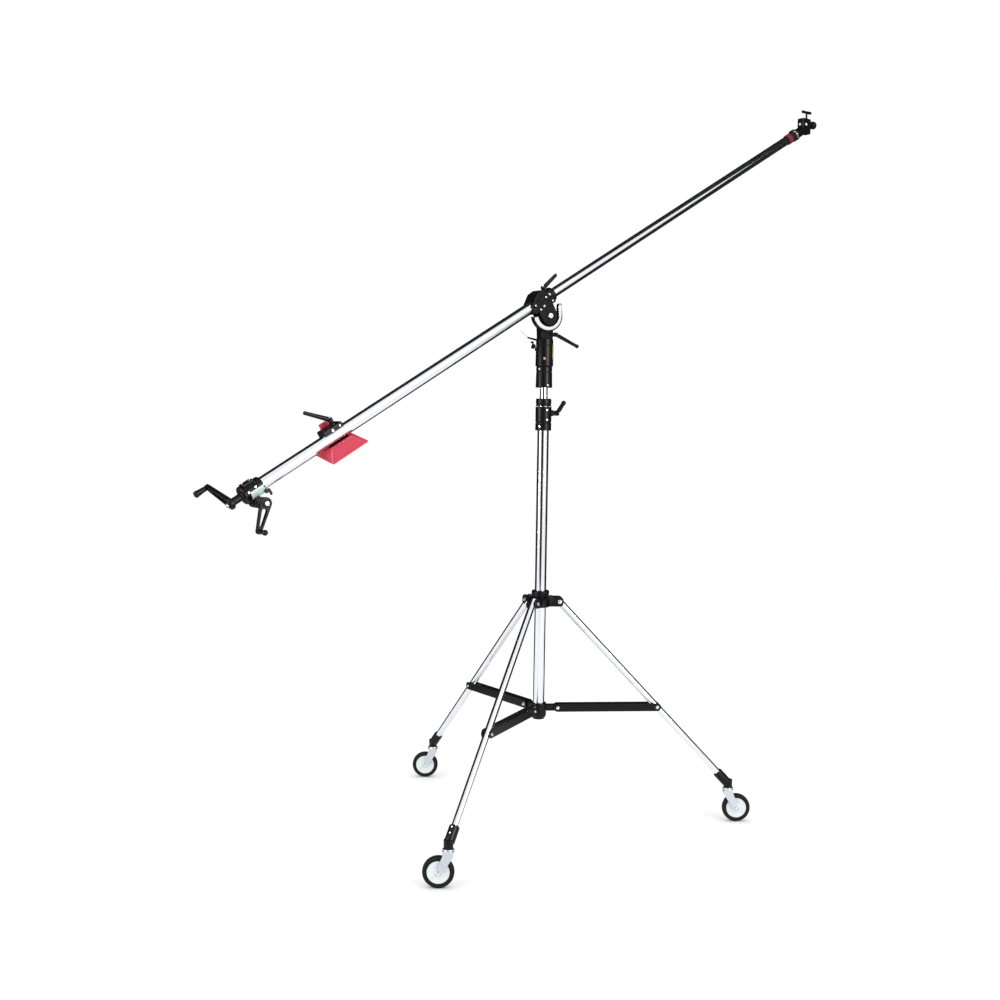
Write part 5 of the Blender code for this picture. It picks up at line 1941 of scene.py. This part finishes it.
@dataclass
class Head:
    """The boom's head: a rolling fork, a socket block that stays level, a knob and a T-handle."""

    layout: Layout

    def build(self) -> None:
        """Makes the head's pieces."""
        bench = self.layout.bench
        pivot = bench.joint("head_tilt").translation
        self.reach = (self.layout.boom.inverted() @ pivot).x
        self.level = Matrix.Translation(pivot)
        self._fork()
        self._block()
        self._handles()

    def _fork(self) -> None:
        """The fork with its bright arc and its pivot bolt."""
        layout, bench = self.layout, self.layout.bench
        start = min(p.x for p in bench.points("head_fork", layout.boom))
        place = layout.along(start)
        collar = softened(rod(22, 0, 22), 2 * MM)
        form = Form().lathe(collar, place=lying(), steps=72)
        reach = self.reach - start
        outline = [(16 * MM, 13 * MM), (16 * MM, -13 * MM), *arc((reach, 0), 13 * MM, -90, 90, 20)]
        sides = [
            Form().prism(outline, low, low + 6.4 * MM, 1.2 * MM, across(), 3)
            for low in (-22 * MM, 15.6 * MM)
        ]
        form.work("UNION", *sides)
        hole = Form().lathe(rod(5.3, 40, -40), place=across((reach, 0, 0)), steps=40)
        form.work("DIFFERENCE", hole)
        bench.piece("head_fork_fine", form, place, BLACK, ["head_fork"])
        outline = arc((0, 0), 24.4 * MM, 60, 300, 40) + arc((0, 0), 20.8 * MM, 300, 60, 40)
        arch = Form().prism(outline, 4 * MM, 16 * MM, 0.8 * MM, lying(), 3)
        bench.piece("head_arch", arch, place, ALLOY, body="head_fork")
        pivot = bench.joint("head_tilt")
        bolt = Form().lathe(rod(5, 23, -23), steps=40)
        bolt.bolt_ends(22.4 * MM, 12 * MM, 4.4 * MM)
        bench.piece("head_pivot_bolt_fine", bolt, pivot, BLACK, ["head_pivot_bolt"])

    def _block(self) -> None:
        """The socket block with its two round marks."""
        bench = self.layout.bench
        form = Form().block(*mm((-14, -15, -14), (34, 15, 46)), 3.5 * MM, segments=4)
        bolt = Form().lathe(rod(5.3, 40, -40), place=across(), steps=40)
        spigot = rod(8.3, 30, -17)
        socket = Form().lathe(spigot, place=Matrix.Translation((19 * MM, 0, 0)), steps=56)
        form.work("DIFFERENCE", bolt, socket)
        bench.piece("head_block_fine", form, self.level, BLACK, ["head_block"])
        dot = softened(rod(5, 1.2, -1), 0.5 * MM)
        left = Matrix.Translation((-14 * MM, 0, 22 * MM)) @ Matrix.Rotation(-math.pi / 2, 4, "Y")
        for name, place, finish in (
            ("head_cream_dot", left, CREAM_DOT),
            ("head_white_dot", across((5 * MM, -15 * MM, 22 * MM)), WHITE_DOT),
        ):
            bench.piece(
                name, Form().lathe(dot, place=place, steps=40), self.level, finish, body="head_block",
            )

    def _handles(self) -> None:
        """The round knob and the T-handle."""
        bench = self.layout.bench
        knob = bench.joint("head_knob_turn")
        shape = mm((0, 36), (12, 36), (16, 31), (15, 18), (10, 14), (5, 13))
        shape += mm((5, 0.3), (0, 0.3))
        fine = Form().lathe(
            softened(shape, 2 * MM), steps=96, flutes=7, depth=1.8 * MM, band=(17 * MM, 33 * MM),
        )
        bench.piece("head_knob_fine", fine, knob, GRIP, ["head_knob"])
        handle = bench.joint("head_t_handle_turn")
        height = max(p.z for p in bench.points("head_t_handle", handle)) - 6 * MM
        top = height - 1 * MM
        stem = softened([(0, top), (4 * MM, top), *mm((4, 3), (7, 2), (7, 0.3), (0, 0.3))], 0.5 * MM)
        form = Form().lathe(stem, steps=40)
        bar = softened(mm((0, 24), (6, 24), (5.2, 8), (5.2, -8), (6, -24), (0, -24)), 2 * MM)
        bar_place = Matrix.Translation((0, 0, height)) @ handle.inverted() @ Matrix.Translation(
            handle.translation,
        ) @ lying()
        form.work("UNION", Form().lathe(bar, place=bar_place, steps=40))
        bench.piece("head_t_handle_fine", form, handle, BLACK, ["head_t_handle"])


# ---------------------------------------------------------------- studio


@dataclass
class Studio:
    """Floor, soft lights, dark panels that only reflections see, the world and the camera."""

    layout: Layout
    azimuth: float = -35.35
    stance: tuple[float, float, float] = (-0.143, -4.492, 1.4698)
    pitch: float = 4.0259
    yaw: float = -0.0519
    roll: float = 0.845
    lens: float = 46.26
    surround: float = 1.06

    def build(self) -> None:
        """Makes everything round the stand."""
        self._world()
        self._floor()
        self._lights()
        self._panels()
        self._camera()

    def _world(self) -> None:
        """A plain white surround."""
        world = bpy.data.worlds.new("surround")
        bpy.context.scene.world = world
        world.use_nodes = True
        background = world.node_tree.nodes["Background"]
        background.inputs["Color"].default_value = (1.0, 1.0, 1.0, 1)
        background.inputs["Strength"].default_value = self.surround
        bpy.context.scene.view_settings.view_transform = "Standard"

    def _floor(self) -> None:
        """A pale floor that fades into the surround."""
        form = Form().lathe([(0, -3 * MM), (40, -3 * MM), (40, 0), (0, 0)], steps=96)
        mesh = bpy.data.meshes.new("floor")
        form.mesh.to_mesh(mesh)
        graph = Graph("floor_paper")
        own = graph.place()
        cloud = graph.noise(own, 0.7, 3)
        grain = graph.noise(own, 220, 3)
        colour = graph.blend(cloud, (0.97, 0.97, 0.97), (0.94, 0.94, 0.94))
        rough = 0.8 + 0.1 * cloud
        bump = graph.bump(grain, 0.05 * MM, 0.2)
        mesh.materials.append(
            graph.done(Base_Color=colour, Roughness=rough, Specular_IOR_Level=0.0, Normal=bump),
        )
        floor = bpy.data.objects.new("floor", mesh)
        bpy.context.scene.collection.objects.link(floor)

    def _lights(self) -> None:
        """Two soft lights in front, and two bright strips that only glossy surfaces see."""
        eye, column = self.eye(), self.layout.stand.translation
        back = (eye - column).normalized()
        right = UP.cross(back)
        high, low = Vector((0, 0, 3.4)), Vector((0, 0, 1.6))
        rows = (
            ("soft_left", column - right * 4.5 + back * 4 + high, (2.5, 2.5), 40, True),
            ("soft_right", column + right * 4.5 + back * 4 + high, (2.5, 2.5), 60, True),
            ("strip_left", column - right * 3.6 + back * 2.2 + low, (0.35, 3.6), 160, False),
            ("strip_right", column + right * 3.2 + back * 3.2 + low, (0.45, 3.6), 220, False),
        )
        for name, spot, size, power, lights_all in rows:
            lamp = bpy.data.lights.new(name, "AREA")
            lamp.shape = "RECTANGLE"
            lamp.size, lamp.size_y = size
            lamp.energy = power
            made = bpy.data.objects.new(name, lamp)
            bpy.context.scene.collection.objects.link(made)
            made.matrix_world = frame_on(
                spot, spot - (column + Vector((0, 0, 1.2))), UP.cross(spot - column),
            )
            made.visible_diffuse = lights_all

    def _panels(self) -> None:
        """Black panels that give the plating its dark bands."""
        graph = Graph("panel_black")
        cloud = graph.noise(graph.place(), 2.0, 3)
        colour = graph.blend(cloud, (0.004, 0.004, 0.004), (0.008, 0.008, 0.008))
        black = graph.done(Base_Color=colour, Roughness=0.9 + 0.05 * cloud)
        eye = self.eye()
        column = self.layout.stand.translation
        back = eye - column
        back.z = 0
        back.normalize()
        right = UP.cross(back)
        middle, wing = Vector((0, 0, 2.7)), Vector((3.4, 6.4, 0))
        panels = (
            ("overhead", column + Vector((0, 0, 5.4)) - back * 1.6, Vector((16.0, 5.0, 0)), -UP),
            ("behind_camera", eye + back * 1.2 - right * 1.15, Vector((4.6, 7.0, 0)), -back),
            ("backdrop", column - back * 2.6 + middle, Vector((13.0, 6.4, 0)), back),
            ("left_wing", column - right * 5.6 - back * 1.1 + middle, wing, right),
            ("right_wing", column + right * 5.6 - back * 1.1 + middle, wing, -right),
            ("ground", column - back * 2.0 + Vector((0, 0, 0.004)), Vector((13.0, 2.4, 0)), UP),
        )
        for name, centre, size, facing in panels:
            form = Form().block((-size.x / 2, -size.y / 2, -0.01), (size.x / 2, size.y / 2, 0.01))
            mesh = bpy.data.meshes.new("panel_" + name)
            form.mesh.to_mesh(mesh)
            mesh.materials.append(black)
            made = bpy.data.objects.new("panel_" + name, mesh)
            bpy.context.scene.collection.objects.link(made)
            made.matrix_world = frame_on(centre, facing, right if abs(facing.z) > 0.5 else UP.cross(facing))
            for ray in ("camera", "diffuse", "shadow", "transmission"):
                setattr(made, "visible_" + ray, False)

    def turn(self) -> Matrix:
        """The camera's own turn about the column."""
        return Matrix.Rotation(math.radians(self.azimuth), 4, "Z")

    def eye(self) -> Vector:
        """Where the camera stands."""
        return self.turn() @ Vector(self.stance) + self.layout.stand.translation

    def _camera(self) -> None:
        """The camera: a little below the boom, looking slightly down, rolled by under a degree."""
        pitch, yaw, roll = math.radians(self.pitch), math.radians(self.yaw), math.radians(self.roll)
        level = math.cos(pitch)
        ahead = self.turn() @ Vector((math.sin(yaw) * level, math.cos(yaw) * level, -math.sin(pitch)))
        right = ahead.cross(UP).normalized()
        up = right.cross(ahead).normalized()
        side = right * math.cos(roll) + up * math.sin(roll)
        top = up * math.cos(roll) - right * math.sin(roll)
        matrix = Matrix((side, top, -ahead)).transposed().to_4x4()
        matrix.translation = self.eye()
        data = bpy.data.cameras.new("camera")
        data.sensor_width = 36
        data.lens = self.lens
        data.clip_end = 120
        camera = bpy.data.objects.new("camera", data)
        bpy.context.scene.collection.objects.link(camera)
        camera.matrix_world = matrix
        bpy.context.scene.camera = camera


def main() -> None:
    """Builds the looks of the whole stand, assembly by assembly."""
    logging.basicConfig(level=logging.INFO, format="%(message)s")
    for obj in list(bpy.data.objects):
        bpy.data.objects.remove(obj)
    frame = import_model()
    layout = Layout(Bench(frame))
    assemblies = [
        Column(layout), LegCollar(layout), *(Leg(layout, side)
        for side in Side), Risers(layout), Receiver(layout)
    ]
    assemblies += [Clamp(layout), Boom(layout), GearHousing(layout), Crank(layout, "roll", 12 * MM)]
    assemblies += [
        Crank(layout, "tilt", 6 * MM, 9 * MM), Counterweight(layout), Head(layout), Studio(layout),
    ]
    for assembly in assemblies:
        assembly.build()


if __name__ == "__main__":
    main()
